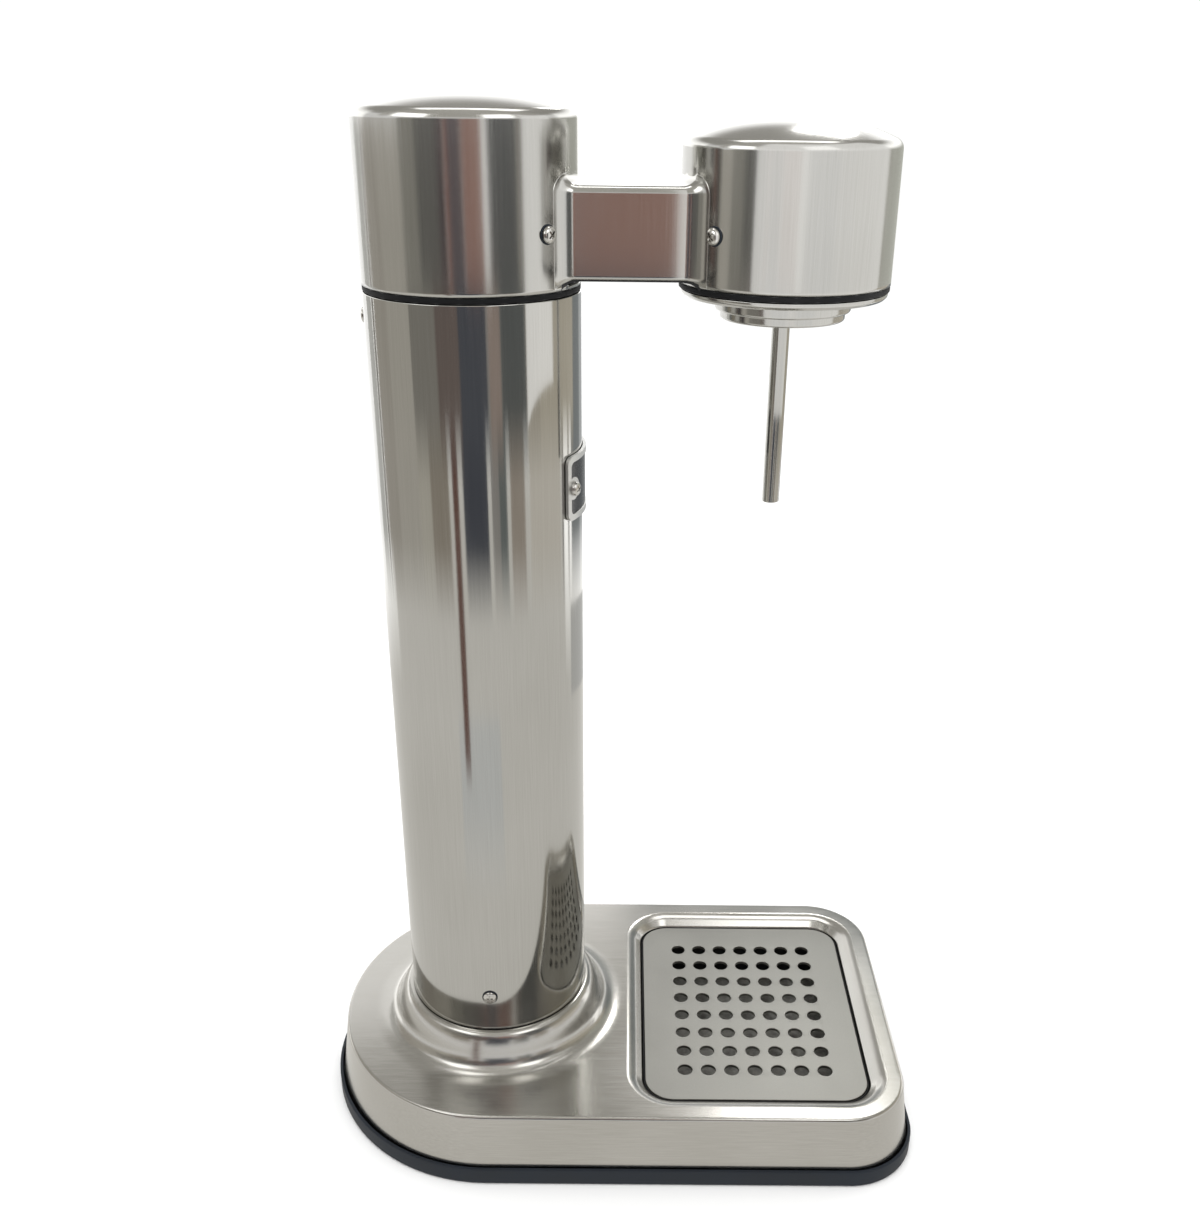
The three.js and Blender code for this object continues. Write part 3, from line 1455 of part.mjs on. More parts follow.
// The lever's group has its origin on the shaft's axis, in the column's middle
function buildLever() {
  const leverGroup = new THREE.Group();
  leverGroup.position.z = leverHeight;
  columnGroup.add(leverGroup);
  place(leverGroup, 'lever_shaft', turnedSide(leverShaft()), springSteel);
  place(leverGroup, 'lever_cam', leverCam(), springSteel);
  place(leverGroup, 'shaft_clip', turnedSide(shaftClip()), springSteel);
  place(leverGroup, 'shaft_bush_right', moved(turnedSide(shaftBush()), 0, cheekInside, 0), whitePlastic);
  place(leverGroup, 'shaft_bush_left', moved(turnedSide(shaftBush()).mirror([0, 1, 0]), 0, -cheekInside, 0),
    whitePlastic);
  place(leverGroup, 'lever_arm', leverArm(), brightSteel);
  const screw = place(leverGroup, 'lever_screw', panScrew(leverScrew), screwSteel);
  screw.rotation.x = -Math.PI / 2;
  screw.position.y = hubStart + hubLength + gap;
  place(columnGroup, 'plunger', plunger(), springSteel);
  place(columnGroup, 'return_spring', returnSpring(), springSteel);
}

buildBase();
buildTray();
buildColumn();
buildTop();
buildHead();
buildGasTrain();
buildLever();

export default root;
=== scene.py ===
import json
import math

import bmesh
import bpy
from mathutils import Matrix, Vector
from mathutils.geometry import interpolate_bezier


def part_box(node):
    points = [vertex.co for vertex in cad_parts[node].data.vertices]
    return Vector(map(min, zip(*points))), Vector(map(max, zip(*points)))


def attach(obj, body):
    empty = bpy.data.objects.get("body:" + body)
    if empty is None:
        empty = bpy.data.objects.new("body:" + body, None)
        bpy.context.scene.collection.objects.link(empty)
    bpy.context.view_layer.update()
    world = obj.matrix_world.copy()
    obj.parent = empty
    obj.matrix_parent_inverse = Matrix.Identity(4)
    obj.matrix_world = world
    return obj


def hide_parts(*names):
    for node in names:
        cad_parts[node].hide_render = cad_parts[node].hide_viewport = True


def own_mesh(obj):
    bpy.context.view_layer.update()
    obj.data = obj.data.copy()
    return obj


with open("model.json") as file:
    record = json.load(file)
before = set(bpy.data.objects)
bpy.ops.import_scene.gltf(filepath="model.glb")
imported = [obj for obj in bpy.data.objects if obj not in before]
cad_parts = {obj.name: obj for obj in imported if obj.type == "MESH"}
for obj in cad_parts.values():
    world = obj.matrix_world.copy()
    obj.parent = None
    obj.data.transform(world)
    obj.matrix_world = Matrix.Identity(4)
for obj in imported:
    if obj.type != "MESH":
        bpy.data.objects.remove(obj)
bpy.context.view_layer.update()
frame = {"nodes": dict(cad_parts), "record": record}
scene = bpy.context.scene
scene.view_settings.view_transform = "Standard"

# Pieces are drawn in millimetres and made metres when they are finished.
# +X is the machine's front, +Y its right-hand side, the table is at height 0.
METRE = 1000.0
TURN_STEPS = 192
CORNER_STEPS = 20
SHARP_ANGLE = math.radians(35)

# Upright axes, column tube and head
COLUMN_X = -53.5
HEAD_X = 56.5
TRAY_X = 60.0
COLUMN_RADIUS = 38.5
COLUMN_BORE = 37.3
COLUMN_BOTTOM = 49.1
COLUMN_TOP = 349.9
HEAD_RADIUS = 37.2

# Base: the foot ring stands out past the steel, and the steel walls lean in towards the top
BASE_FRONT = 128.0
BASE_HALF_WIDTH = 76.5
BACK_REACH = 74.5
FRONT_CORNER = 30.0
RUBBER_PROUD = 1.6
BASE_LEAN = 1.0
END_LEAN = 3.0
EDGE_ROUNDING = 1.5
STEEL_BOTTOM = 3.3
BASE_TOP = 34.0
STEEL_WALL = 1.2
FLARE_RADIUS = 57.2
FLARE_TOP = 48.8

# Drip grille
GRILLE_LENGTH = 95.0
GRILLE_WIDTH = 117.0
GRILLE_CORNER = 12.0
GRILLE_TOP = 30.1
GRILLE_THICKNESS = 1.5
HOLE_COLUMNS = 7
HOLE_ROWS = 8
HOLE_PITCH_X = 10.1
HOLE_PITCH_Y = 11.75
HOLE_RADIUS = 3.15

# Cover, lever and screws
COVER_BOTTOM = 352.4
HEAD_BOTTOM = 353.8
LEVER_HEIGHT = 372.0
COVER_SCREW_HEIGHT = 371.0
COVER_SCREW_SIDE = 25.9
COLUMN_SCREW_HEIGHT = 66.4
BACK_SCREW_HEIGHT = 340.5
BASE_SCREW_HEIGHT = 3.0
SCREW_STAND_OFF = 0.3

# Badge, bent round the column
BADGE_HEIGHT = 282.2
BADGE_RADIUS = COLUMN_RADIUS + 0.3
BADGE_THICKNESS = 1.2
BADGE_SCREW_REACH = 17.0


# Drawing tools

def wire(bm, points, closed=True):
    """Edges through points."""
    verts = [bm.verts.new(point) for point in points]
    ends = verts[1:] + verts[:1] if closed else verts[1:]
    return [bm.edges.new(pair) for pair in zip(verts, ends)]


def rounded_line(corners, closed, segments):
    """Points of a line through (a, b, rounding) corners, each corner rounded."""
    bm = bmesh.new()
    wire(bm, [(a, b, 0) for a, b, _ in corners], closed)
    bm.verts.ensure_lookup_table()
    first = bm.verts[0]
    for vert, (_, _, rounding) in zip(list(bm.verts), corners):
        if rounding:
            bmesh.ops.bevel(bm, geom=[vert], offset=rounding, offset_type="OFFSET", segments=segments,
                            profile=0.5, affect="VERTICES", material=-1)
    bmesh.ops.remove_doubles(bm, verts=bm.verts, dist=1e-4)
    ends = [vert for vert in bm.verts if len(vert.link_edges) == 1]
    here = ends[0] if ends else next(iter(bm.verts))
    if first.is_valid and first in ends:
        here = first
    points, seen = [], set()
    while here is not None:
        seen.add(here)
        points.append(here.co.copy())
        ahead = [edge.other_vert(here) for edge in here.link_edges]
        here = next((vert for vert in ahead if vert not in seen), None)
    bm.free()
    return points


def outline(corners, height, segments=CORNER_STEPS):
    """A closed outline through (x, y, rounding) corners at a height."""
    return [Vector((point.x, point.y, height)) for point in rounded_line(corners, True, segments)]


def rectangle(x, half_length, half_width, rounding, height, segments=CORNER_STEPS):
    """A rounded rectangle's outline about the machine's middle line."""
    return outline([
        (x + half_length, half_width, rounding),
        (x - half_length, half_width, rounding),
        (x - half_length, -half_width, rounding),
        (x + half_length, -half_width, rounding),
    ], height, segments)


def skin(bm, loops, ends=False, around=False):
    """Faces between neighbouring closed outlines, with the two ends or the way round closed too."""
    rings = [wire(bm, loop) for loop in loops]
    pairs = list(zip(rings, rings[1:])) + ([(rings[-1], rings[0])] if around else [])
    for below, above in pairs:
        bmesh.ops.bridge_loops(bm, edges=below + above)
    if ends:
        bmesh.ops.contextual_create(bm, geom=rings[0])
        bmesh.ops.contextual_create(bm, geom=rings[-1])
    return rings


def spun(bm, profile, x=0.0, steps=TURN_STEPS):
    """Turns a line of (radius, height) points full circle about an upright axis."""
    edges = wire(bm, [(radius, 0, height) for radius, height in profile], closed=False)
    verts = list({vert for edge in edges for vert in edge.verts})
    before = set(bm.verts) - set(verts)
    bmesh.ops.spin(bm, geom=verts + edges, cent=(0, 0, 0), axis=(0, 0, 1), angle=math.tau,
                   steps=steps, use_merge=True)
    made = [vert for vert in bm.verts if vert not in before]
    bmesh.ops.remove_doubles(bm, verts=made, dist=1e-4)
    made = [vert for vert in bm.verts if vert not in before]
    bmesh.ops.translate(bm, vec=(x, 0, 0), verts=made)
    return made


def turned(corners, closed=False, segments=6):
    """A spun piece's line from (radius, height, rounding) corners."""
    points = [(point.x, point.y) for point in rounded_line(corners, closed, segments)]
    return points + points[:1] if closed else points


def slab(bm, points, shift):
    """Adds a solid with the outline's flat shape, as thick as the shift."""
    face = bm.faces.new([bm.verts.new(point) for point in points])
    moved = bmesh.ops.extrude_face_region(bm, geom=[face], use_keep_orig=True)
    verts = [item for item in moved["geom"] if isinstance(item, bmesh.types.BMVert)]
    bmesh.ops.translate(bm, vec=shift, verts=verts)


def to_metres(bm):
    """Scales a shape drawn in millimetres."""
    bmesh.ops.scale(bm, vec=(1 / METRE, 1 / METRE, 1 / METRE), verts=bm.verts)


def to_mesh(bm, name):
    """A mesh with its faces pointing outwards."""
    bmesh.ops.recalc_face_normals(bm, faces=bm.faces)
    mesh = bpy.data.meshes.new(name)
    bm.to_mesh(mesh)
    bm.free()
    return mesh


def cut_away(bm, tool):
    """What is left of one solid when another is taken out of it."""
    things = [bpy.data.objects.new("working_shape", to_mesh(shape, "working_shape")) for shape in (bm, tool)]
    for thing in things:
        scene.collection.objects.link(thing)
    cut = things[0].modifiers.new("cut", "BOOLEAN")
    cut.operation = "DIFFERENCE"
    cut.solver = "EXACT"
    cut.object = things[1]
    bpy.context.view_layer.update()
    result = bmesh.new()
    result.from_mesh(things[0].evaluated_get(bpy.context.evaluated_depsgraph_get()).to_mesh())
    for thing in things:
        mesh = thing.data
        bpy.data.objects.remove(thing)
        bpy.data.meshes.remove(mesh)
    return result


def placed(bm, x, y, z, direction):
    """Moves a shape drawn about the Z axis to a place, pointing in a direction."""
    turn = Vector((0, 0, 1)).rotation_difference(Vector(direction)).to_matrix().to_4x4()
    bmesh.ops.transform(bm, matrix=Matrix.Translation((x, y, z)) @ turn, verts=bm.verts)
    return bm


def piece(name, bm, slot, body="frame", stands_for=(), finish=None, rounding=0.0, thickness=0.0, steps=3):
    """Finishes a piece: metres, shading, rounded edges, material, body and the CAD nodes it stands for."""
    to_metres(bm)
    mesh = to_mesh(bm, name)
    mesh.shade_smooth()
    obj = bpy.data.objects.new(name, mesh)
    scene.collection.objects.link(obj)
    mesh.materials.append(finishes[finish or slot])
    if thickness:
        wall = obj.modifiers.new("wall", "SOLIDIFY")
        wall.thickness = thickness / METRE
        wall.offset = -1
    if rounding:
        edge = obj.modifiers.new("edges", "BEVEL")
        edge.width = rounding / METRE
        edge.segments = steps
        edge.limit_method = "ANGLE"
        edge.angle_limit = SHARP_ANGLE
    else:
        mesh.set_sharp_from_angle(angle=SHARP_ANGLE)
    shading = obj.modifiers.new("shading", "WEIGHTED_NORMAL")
    shading.keep_sharp = True
    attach(obj, body)
    if stands_for:
        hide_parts(*stands_for)
    return obj


# Finishes

def srgb(code):
    """A #rrggbb colour in the linear values that the nodes take."""
    parts = [int(code[i:i + 2], 16) / 255 for i in (1, 3, 5)]
    return [part / 12.92 if part <= 0.04045 else ((part + 0.055) / 1.055) ** 2.4 for part in parts] + [1.0]


def add(tree, kind, inputs=None, **settings):
    """Adds a node with its settings and its inputs, each a value or another node's output."""
    made = tree.nodes.new("ShaderNode" + kind)
    for name, value in settings.items():
        setattr(made, name, value)
    for name, value in (inputs or {}).items():
        if isinstance(value, bpy.types.NodeSocket):
            tree.links.new(value, made.inputs[name])
        else:
            made.inputs[name].default_value = value
    return made


def empty_material(name):
    """A material with nodes, and none in it yet."""
    material = bpy.data.materials.new(name)
    material.use_nodes = True
    material.node_tree.nodes.clear()
    return material


def surface(name, dark, light, rough, grain_mm, pattern_mm, grain_depth, wave_depth=0.0, wave_mm=40.0,
            metallic=0.0, shader=None):
    """A material whose grain is a stretched noise of real size.

    grain_mm is the grain's size along X, Y and Z, and pattern_mm the size of the broad changes of tone.
    rough holds the lowest and the highest roughness. Depths are in millimetres, and wave_mm is the size
    of the sheet's slow waves. shader holds further inputs of the shader.
    """
    material = empty_material(name)
    tree = material.node_tree
    place = add(tree, "TexCoord").outputs["Object"]
    grain_scale = [METRE / size for size in grain_mm]
    grain_place = add(tree, "Mapping", {"Vector": place, "Scale": grain_scale}).outputs["Vector"]
    grain = add(tree, "TexNoise", {"Vector": grain_place, "Scale": 1.0, "Detail": 3.0, "Roughness": 0.6})
    tone = add(tree, "TexNoise", {"Vector": place, "Scale": METRE / pattern_mm, "Detail": 2.0})
    both = add(tree, "Math", {0: grain.outputs["Fac"], 1: tone.outputs["Fac"]}, operation="ADD")
    spread = {"Value": both.outputs[0], "From Min": 0.7, "From Max": 1.3}
    share = add(tree, "MapRange", spread)
    colour = add(tree, "Mix", {
        "Factor": share.outputs["Result"], "A": srgb(dark), "B": srgb(light)}, data_type="RGBA")
    roughness = add(tree, "MapRange", {**spread, "To Min": rough[0], "To Max": rough[1]})
    wave = add(tree, "TexNoise", {"Vector": place, "Scale": METRE / wave_mm, "Detail": 1.0})
    wave_bump = add(tree, "Bump", {
        "Strength": 1.0, "Distance": wave_depth / METRE, "Height": wave.outputs["Fac"]})
    bump = add(tree, "Bump", {
        "Strength": 1.0, "Distance": grain_depth / METRE, "Height": grain.outputs["Fac"],
        "Normal": wave_bump.outputs["Normal"]})
    skin_shader = add(tree, "BsdfPrincipled", {
        "Base Color": colour.outputs["Result"], "Roughness": roughness.outputs["Result"],
        "Metallic": metallic, "Normal": bump.outputs["Normal"], **(shader or {})})
    add(tree, "OutputMaterial", {"Surface": skin_shader.outputs["BSDF"]})
    return material


finishes = {
    # Stainless sheet, pressed and then satin brushed lengthwise: soft reflections with faint long streaks
    "satin_steel": surface(
        "satin_brushed_steel", "#b3b1ab", "#bdbbb6", (0.17, 0.24), (14.0, 0.6, 0.6), 45.0,
        grain_depth=0.0001, wave_depth=0.05, wave_mm=38.0, metallic=1.0),
    # Flat stainless plate, blasted to a matte grey, so the grille hardly mirrors anything
    "matte_steel": surface(
        "blasted_matte_steel", "#91908b", "#9d9c97", (0.36, 0.46), (0.4, 0.4, 0.4), 32.0,
        grain_depth=0.003, metallic=1.0),
    # Drawn stainless, polished and then lightly brushed upright: clear, slightly drawn-out stripes
    "bright_steel": surface(
        "polished_steel", "#b4b3ae", "#bdbcb8", (0.12, 0.19), (0.35, 0.35, 30.0), 70.0,
        grain_depth=0.0006, wave_depth=0.012, wave_mm=60.0, metallic=1.0),
    # Column tube, polished on a lathe after drawing: the clearest mirror of the machine
    "mirror_steel": surface(
        "mirror_polished_tube", "#b4b3ae", "#bdbcb8", (0.06, 0.12), (0.35, 0.35, 30.0), 70.0,
        grain_depth=0.0003, wave_depth=0.012, wave_mm=60.0, metallic=1.0),
    # Badge plate, pearl blasted and nickel plated: light and even whatever it faces
    "pearled_steel": surface(
        "pearl_nickel_plate", "#c6c6c4", "#d2d2d0", (0.38, 0.5), (0.3, 0.3, 0.3), 12.0,
        grain_depth=0.002, metallic=1.0),
    # Nickel-bright screw heads, tumbled smooth
    "screw_steel": surface(
        "bright_screw_steel", "#c3c1bc", "#cfcdc9", (0.1, 0.2), (0.6, 0.6, 0.6), 3.0,
        grain_depth=0.001, metallic=1.0),
    # Hardened spring and shaft steel, plain ground
    "spring_steel": surface(
        "ground_spring_steel", "#85888c", "#979a9e", (0.28, 0.42), (0.3, 0.3, 0.3), 10.0,
        grain_depth=0.002, metallic=1.0),
    # Machined brass with fine tool marks
    "brass": surface(
        "machined_brass", "#b8964f", "#caaa66", (0.25, 0.4), (2.5, 2.5, 0.3), 12.0,
        grain_depth=0.003, metallic=1.0),
    # Steel cylinder in grey stoving enamel: a faint orange peel under a soft gloss
    "painted_steel": surface(
        "grey_stoving_enamel", "#868d91", "#90979b", (0.3, 0.4), (1.6, 1.6, 1.6), 40.0,
        grain_depth=0.01, shader={"Coat Weight": 0.3, "Coat Roughness": 0.2}),
    # Moulded synthetic rubber: matte, slightly bluish black with a fine bloom
    "black_rubber": surface(
        "moulded_rubber", "#0f1720", "#18212c", (0.5, 0.65), (0.5, 0.5, 0.5), 18.0,
        grain_depth=0.006, shader={"Specular IOR Level": 0.35}),
    # Injection-moulded ABS with a spark-eroded grain
    "black_plastic": surface(
        "moulded_black_abs", "#161718", "#1f2022", (0.45, 0.6), (0.4, 0.4, 0.4), 20.0,
        grain_depth=0.01),
    # The same ABS with a fine matte grain, painted darker and duller than it is: painted shade for the rim
    # deep in the joint, where it hardly catches light
    "shaded_black_plastic": surface(
        "shaded_black_abs", "#0b0c0e", "#111214", (0.6, 0.75), (0.4, 0.4, 0.4), 20.0,
        grain_depth=0.006, shader={"Specular IOR Level": 0.2}),
    # Lime left by dried water on the pan's floor: chalky and patchy, grey over the black plastic
    "dried_water_film": surface(
        "dried_water_film", "#77756f", "#c4c2bb", (0.6, 0.8), (3.0, 3.0, 3.0), 14.0,
        grain_depth=0.01),
    # Black stove enamel laid in the badge's recess: smooth, nearly level
    "black_enamel": surface(
        "black_enamel", "#121314", "#191a1c", (0.22, 0.3), (1.5, 1.5, 1.5), 15.0,
        grain_depth=0.004),
    # Acetal, moulded white: slightly waxy
    "white_plastic": surface(
        "moulded_white_acetal", "#d3d2cc", "#dddcd7", (0.4, 0.5), (0.5, 0.5, 0.5), 20.0,
        grain_depth=0.006),
    # Moulded silicone: dull and faintly cloudy
    "silicone": surface(
        "moulded_silicone", "#b0b3b4", "#bcbfc0", (0.6, 0.75), (0.5, 0.5, 0.5), 12.0,
        grain_depth=0.006),
}


# Base

def base_outline(inset, end_inset, height):
    """The base seen from above: half-round back, straight sides, rounded front corners."""
    half = BASE_HALF_WIDTH - inset
    front = BASE_FRONT - inset - end_inset
    corner = FRONT_CORNER - inset
    points = outline([
        (front, -half, corner),
        (front, half, corner),
        (COLUMN_X - half, half, half),
        (COLUMN_X - half, -half, half),
    ], height, 40)
    back_share = (BACK_REACH - inset - end_inset) / half
    for point in points:
        if point.x < COLUMN_X:
            point.x = COLUMN_X + (point.x - COLUMN_X) * back_share
    return points


def edge_levels(inset, end_inset, top, radius):
    """Insets and heights of an upright wall's rounded upper edge."""
    steps = 5
    turns = [math.pi / 2 * i / steps for i in range(steps + 1)]
    return [(inset + radius * (1 - math.cos(turn)), end_inset, top - radius * (1 - math.sin(turn)))
            for turn in turns]


def make_foot_ring():
    """Rubber ring round the base's lower edge, from (inset, height) points."""
    bm = bmesh.new()
    skin(bm, [base_outline(inset, 0, height) for inset, height in [
        (5.6, 0.04), (1.1, 0), (0.35, 0.35), (0, 1.2), (0, 7.3), (0.15, 7.8), (0.5, 7.96), (1.3, 8), (1.3, 3),
        (5.6, 2.96),
    ]], around=True)
    piece("foot_ring_rubber", bm, "black_rubber", stands_for=["foot_ring"])


def flare_line():
    """The pressed collar round the column's foot, from the base's top up to the column."""
    lower = interpolate_bezier(Vector((FLARE_RADIUS, 0, BASE_TOP)), Vector((50.4, 0, 34.0)),
                               Vector((46.9, 0, 35.4)), Vector((45.0, 0, 40.6)), 18)
    upper = interpolate_bezier(Vector((45.0, 0, 40.6)), Vector((43.3, 0, 45.2)),
                               Vector((41.8, 0, 48.7)), Vector((38.9, 0, FLARE_TOP)), 18)
    return [(point.x, point.z) for point in list(lower) + list(upper)[1:]] + [(37.6, FLARE_TOP)]


def lip_outline(grow, height):
    """The tray recess at one height, its corners wider towards the top."""
    foot_gap = 1.5
    widening = 4.5
    run = 4.6
    corner = GRILLE_CORNER + foot_gap + (grow - foot_gap) * widening / run
    return rectangle(TRAY_X, GRILLE_LENGTH / 2 + grow, GRILLE_WIDTH / 2 + grow, corner, height, 24)


def make_base_housing():
    """Pressed steel shell: leaning wall, top with the collar round the column, and the tray's recess."""
    bm = bmesh.new()
    levels = [(RUBBER_PROUD, 0, STEEL_BOTTOM)] + edge_levels(
        RUBBER_PROUD + BASE_LEAN, END_LEAN, BASE_TOP, EDGE_ROUNDING)
    outer = skin(bm, [base_outline(*level) for level in levels])[-1]
    rim = [vert for vert in spun(bm, flare_line(), x=COLUMN_X)
           if abs((vert.co - Vector((COLUMN_X, 0, BASE_TOP))).length - FLARE_RADIUS) < 1e-3]
    flare_rim = {edge for vert in rim for edge in vert.link_edges if edge.other_vert(vert) in rim}
    lip = turned([(8.3, BASE_TOP, 0), (5.6, BASE_TOP, 2.6), (1.3, 30.1, 0.5), (0.95, 28.9, 0)], segments=10)
    tray = skin(bm, [lip_outline(grow, height) for grow, height in lip])[0]
    bmesh.ops.triangle_fill(bm, edges=outer + list(flare_rim) + tray, use_beauty=True, normal=(0, 0, 1))
    piece("base_housing_shell", bm, "satin_steel", stands_for=["base_housing"], thickness=STEEL_WALL)


def pan_outline(grow, height):
    """The pan seen from above at one height, past the grille's edge by grow."""
    corner = GRILLE_CORNER + max(grow, -6)
    return rectangle(TRAY_X, GRILLE_LENGTH / 2 + grow, GRILLE_WIDTH / 2 + grow, corner, height)


def make_drip_pan():
    """Black pan with a thin rim round the grille, and the lime that water left on its floor."""
    bm = bmesh.new()
    line = [(-5.8, 6.1), (-4.0, 6.6), (-2.8, 8.6), (-2.8, 26.7), (0.55, 26.74), (0.75, 27.0), (0.75, 29.3),
            (0.6, 29.56), (0.4, 29.6), (0.25, 29.3), (0.25, 28.3), (-4.4, 28.26), (-4.4, 10.2), (-5.6, 8.2),
            (-7.4, 7.7)]
    skin(bm, [pan_outline(grow, height) for grow, height in line], ends=True)
    piece("drip_pan_moulding", bm, "black_plastic", body="pan", stands_for=["drip_pan"])
    bm = bmesh.new()
    skin(bm, [pan_outline(-7.8, height) for height in (7.74, 7.86)], ends=True)
    piece("drip_pan_lime_film", bm, "black_plastic", body="pan", finish="dried_water_film")


def make_drip_grille():
    """Flat plate with rows of round holes."""
    bm = bmesh.new()
    edges = wire(bm, rectangle(TRAY_X, GRILLE_LENGTH / 2, GRILLE_WIDTH / 2, GRILLE_CORNER, GRILLE_TOP))
    for column in range(HOLE_COLUMNS):
        for row in range(HOLE_ROWS):
            x = TRAY_X + (column - (HOLE_COLUMNS - 1) / 2) * HOLE_PITCH_X
            y = (row - (HOLE_ROWS - 1) / 2) * HOLE_PITCH_Y
            hole = bmesh.ops.create_circle(bm, segments=32, radius=HOLE_RADIUS, cap_ends=False,
                                           matrix=Matrix.Translation((x, y, GRILLE_TOP)))
            edges += list({edge for vert in hole["verts"] for edge in vert.link_edges})
    bmesh.ops.triangle_fill(bm, edges=edges, use_beauty=True, normal=(0, 0, 1))
    piece("drip_grille_plate", bm, "satin_steel", body="grille", stands_for=["drip_grille"],
          finish="matte_steel", thickness=GRILLE_THICKNESS, rounding=0.25, steps=2)


# Column, cover and head

def make_column():
    """Open steel tube with its two ends deburred."""
    bm = bmesh.new()
    spun(bm, turned([
        (COLUMN_BORE, COLUMN_BOTTOM, 0),
        (COLUMN_RADIUS, COLUMN_BOTTOM, 0.3),
        (COLUMN_RADIUS, COLUMN_TOP, 0.3),
        (COLUMN_BORE, COLUMN_TOP, 0),
    ], closed=True, segments=3), x=COLUMN_X)
    piece("column_tube_steel", bm, "bright_steel", stands_for=["column_tube"], finish="mirror_steel")


def drum_line(radius, bottom, rim, apex, edge):
    """Outer line of a domed drum: upright wall, rounded rim, shallow dome.

    The wall has extra points at the heights where the arm's root begins and ends.
    """
    crown = 2.6
    slope = math.atan(crown * (apex - rim - edge) / (radius - edge))
    line = [(radius, bottom), (radius, bottom + 1.2), (radius, 380.0), (radius, 384.6)]
    turns = [(math.pi / 2 - slope) * i / 8 for i in range(9)]
    line += [(radius - edge * (1 - math.cos(turn)), rim + edge * math.sin(turn)) for turn in turns]
    start, height = line[-1]
    for i in range(1, 17):
        share = 1 - i / 16
        line.append((start * share, height + (apex - height) * (1 - share ** crown)))
    return line


def arm_section(half, bottom, top, edge):
    """The arm's section as (y, z, out y, out z), from one lower corner over the top to the other."""
    side = [(-half, bottom, -1, -1), (-half, bottom + 1.2, -1, 0), (-half, (bottom + top) / 2, -1, 0)]
    turns = [math.pi / 2 * i / 10 for i in range(11)]
    side += [(-half + edge * (1 - math.cos(turn)), top - edge * (1 - math.sin(turn)),
              -math.cos(turn), math.sin(turn)) for turn in turns]
    flat = [((half - edge) * share, top, 0, 1) for share in (-0.6, -0.2, 0.2, 0.6)]
    return side + flat + [(-y, z, -out_y, out_z) for y, z, out_y, out_z in reversed(side)]


def make_top_cover():
    """Cap, arm and head, drawn as one shell: the arm runs out into both drums in a rounded root."""
    bm = bmesh.new()
    # Each drum's axis, the side its arm is on, its radius, its heights, and how far the root drops below
    drums = [
        (COLUMN_X, 1, COLUMN_RADIUS, COVER_BOTTOM, 405.6, 414.0, 3.6),
        (HEAD_X, -1, HEAD_RADIUS, HEAD_BOTTOM, 397.4, 407.0, 2.2),
    ]
    root = 4.0
    bite = 0.02
    opening = 17.0
    opening_top = 384.0
    section = arm_section(half=20.0, bottom=356.0, top=385.8, edge=2.5)
    loops = []
    for x, side, radius, bottom, rim, apex, drop in drums:
        made = set(spun(bm, drum_line(radius, bottom, rim, apex, edge=3.8), x=x))
        inside = [face for face in bm.faces if set(face.verts) <= made
                  and (face.calc_center_median().x - x) * side > 0
                  and abs(face.calc_center_median().y) < opening
                  and bottom + 1.0 < face.calc_center_median().z < opening_top]
        bmesh.ops.delete(bm, geom=inside, context="FACES")
        ends = []
        for i in range(13):
            turn = math.pi / 2 * (1 - i / 12)
            flare = 1 - math.cos(turn)
            reach = radius + root * (1 - math.sin(turn)) - (bite if i == 0 else 0)
            ring = []
            for y, z, out_y, out_z in section:
                flared = y + out_y * root * flare
                height = z + (out_z * drop if out_z < 0 else out_z * root) * flare
                ring.append((x + side * math.sqrt(reach ** 2 - flared ** 2), flared, height))
            ends.append(ring)
        loops += ends if side > 0 else ends[::-1]
    strips = [wire(bm, loop, closed=False) for loop in loops]
    for here, ahead in zip(strips, strips[1:]):
        bmesh.ops.bridge_loops(bm, edges=here + ahead)
    piece("top_cover_shell", bm, "bright_steel", stands_for=["top_cover"], thickness=STEEL_WALL)


def make_seal_line():
    """The inner frame's rim, which shows as a black line under the cap and under the head."""
    bm = bmesh.new()
    rim = 2.0
    for x, radius, bore, bottom in [(COLUMN_X, 38.34, 20.0, 350.15), (HEAD_X, 37.04, 20.5, 351.55)]:
        spun(bm, turned([
            (bore, bottom, 0), (radius, bottom, 0.5), (radius, bottom + rim, 0.5), (bore, bottom + rim, 0),
        ], closed=True, segments=3), x=x)
    # Its finish is the black ABS painted darker and duller: painted shade of the joint under the cap and the
    # head
    piece("inner_frame_rim", bm, "black_plastic", finish="shaded_black_plastic")


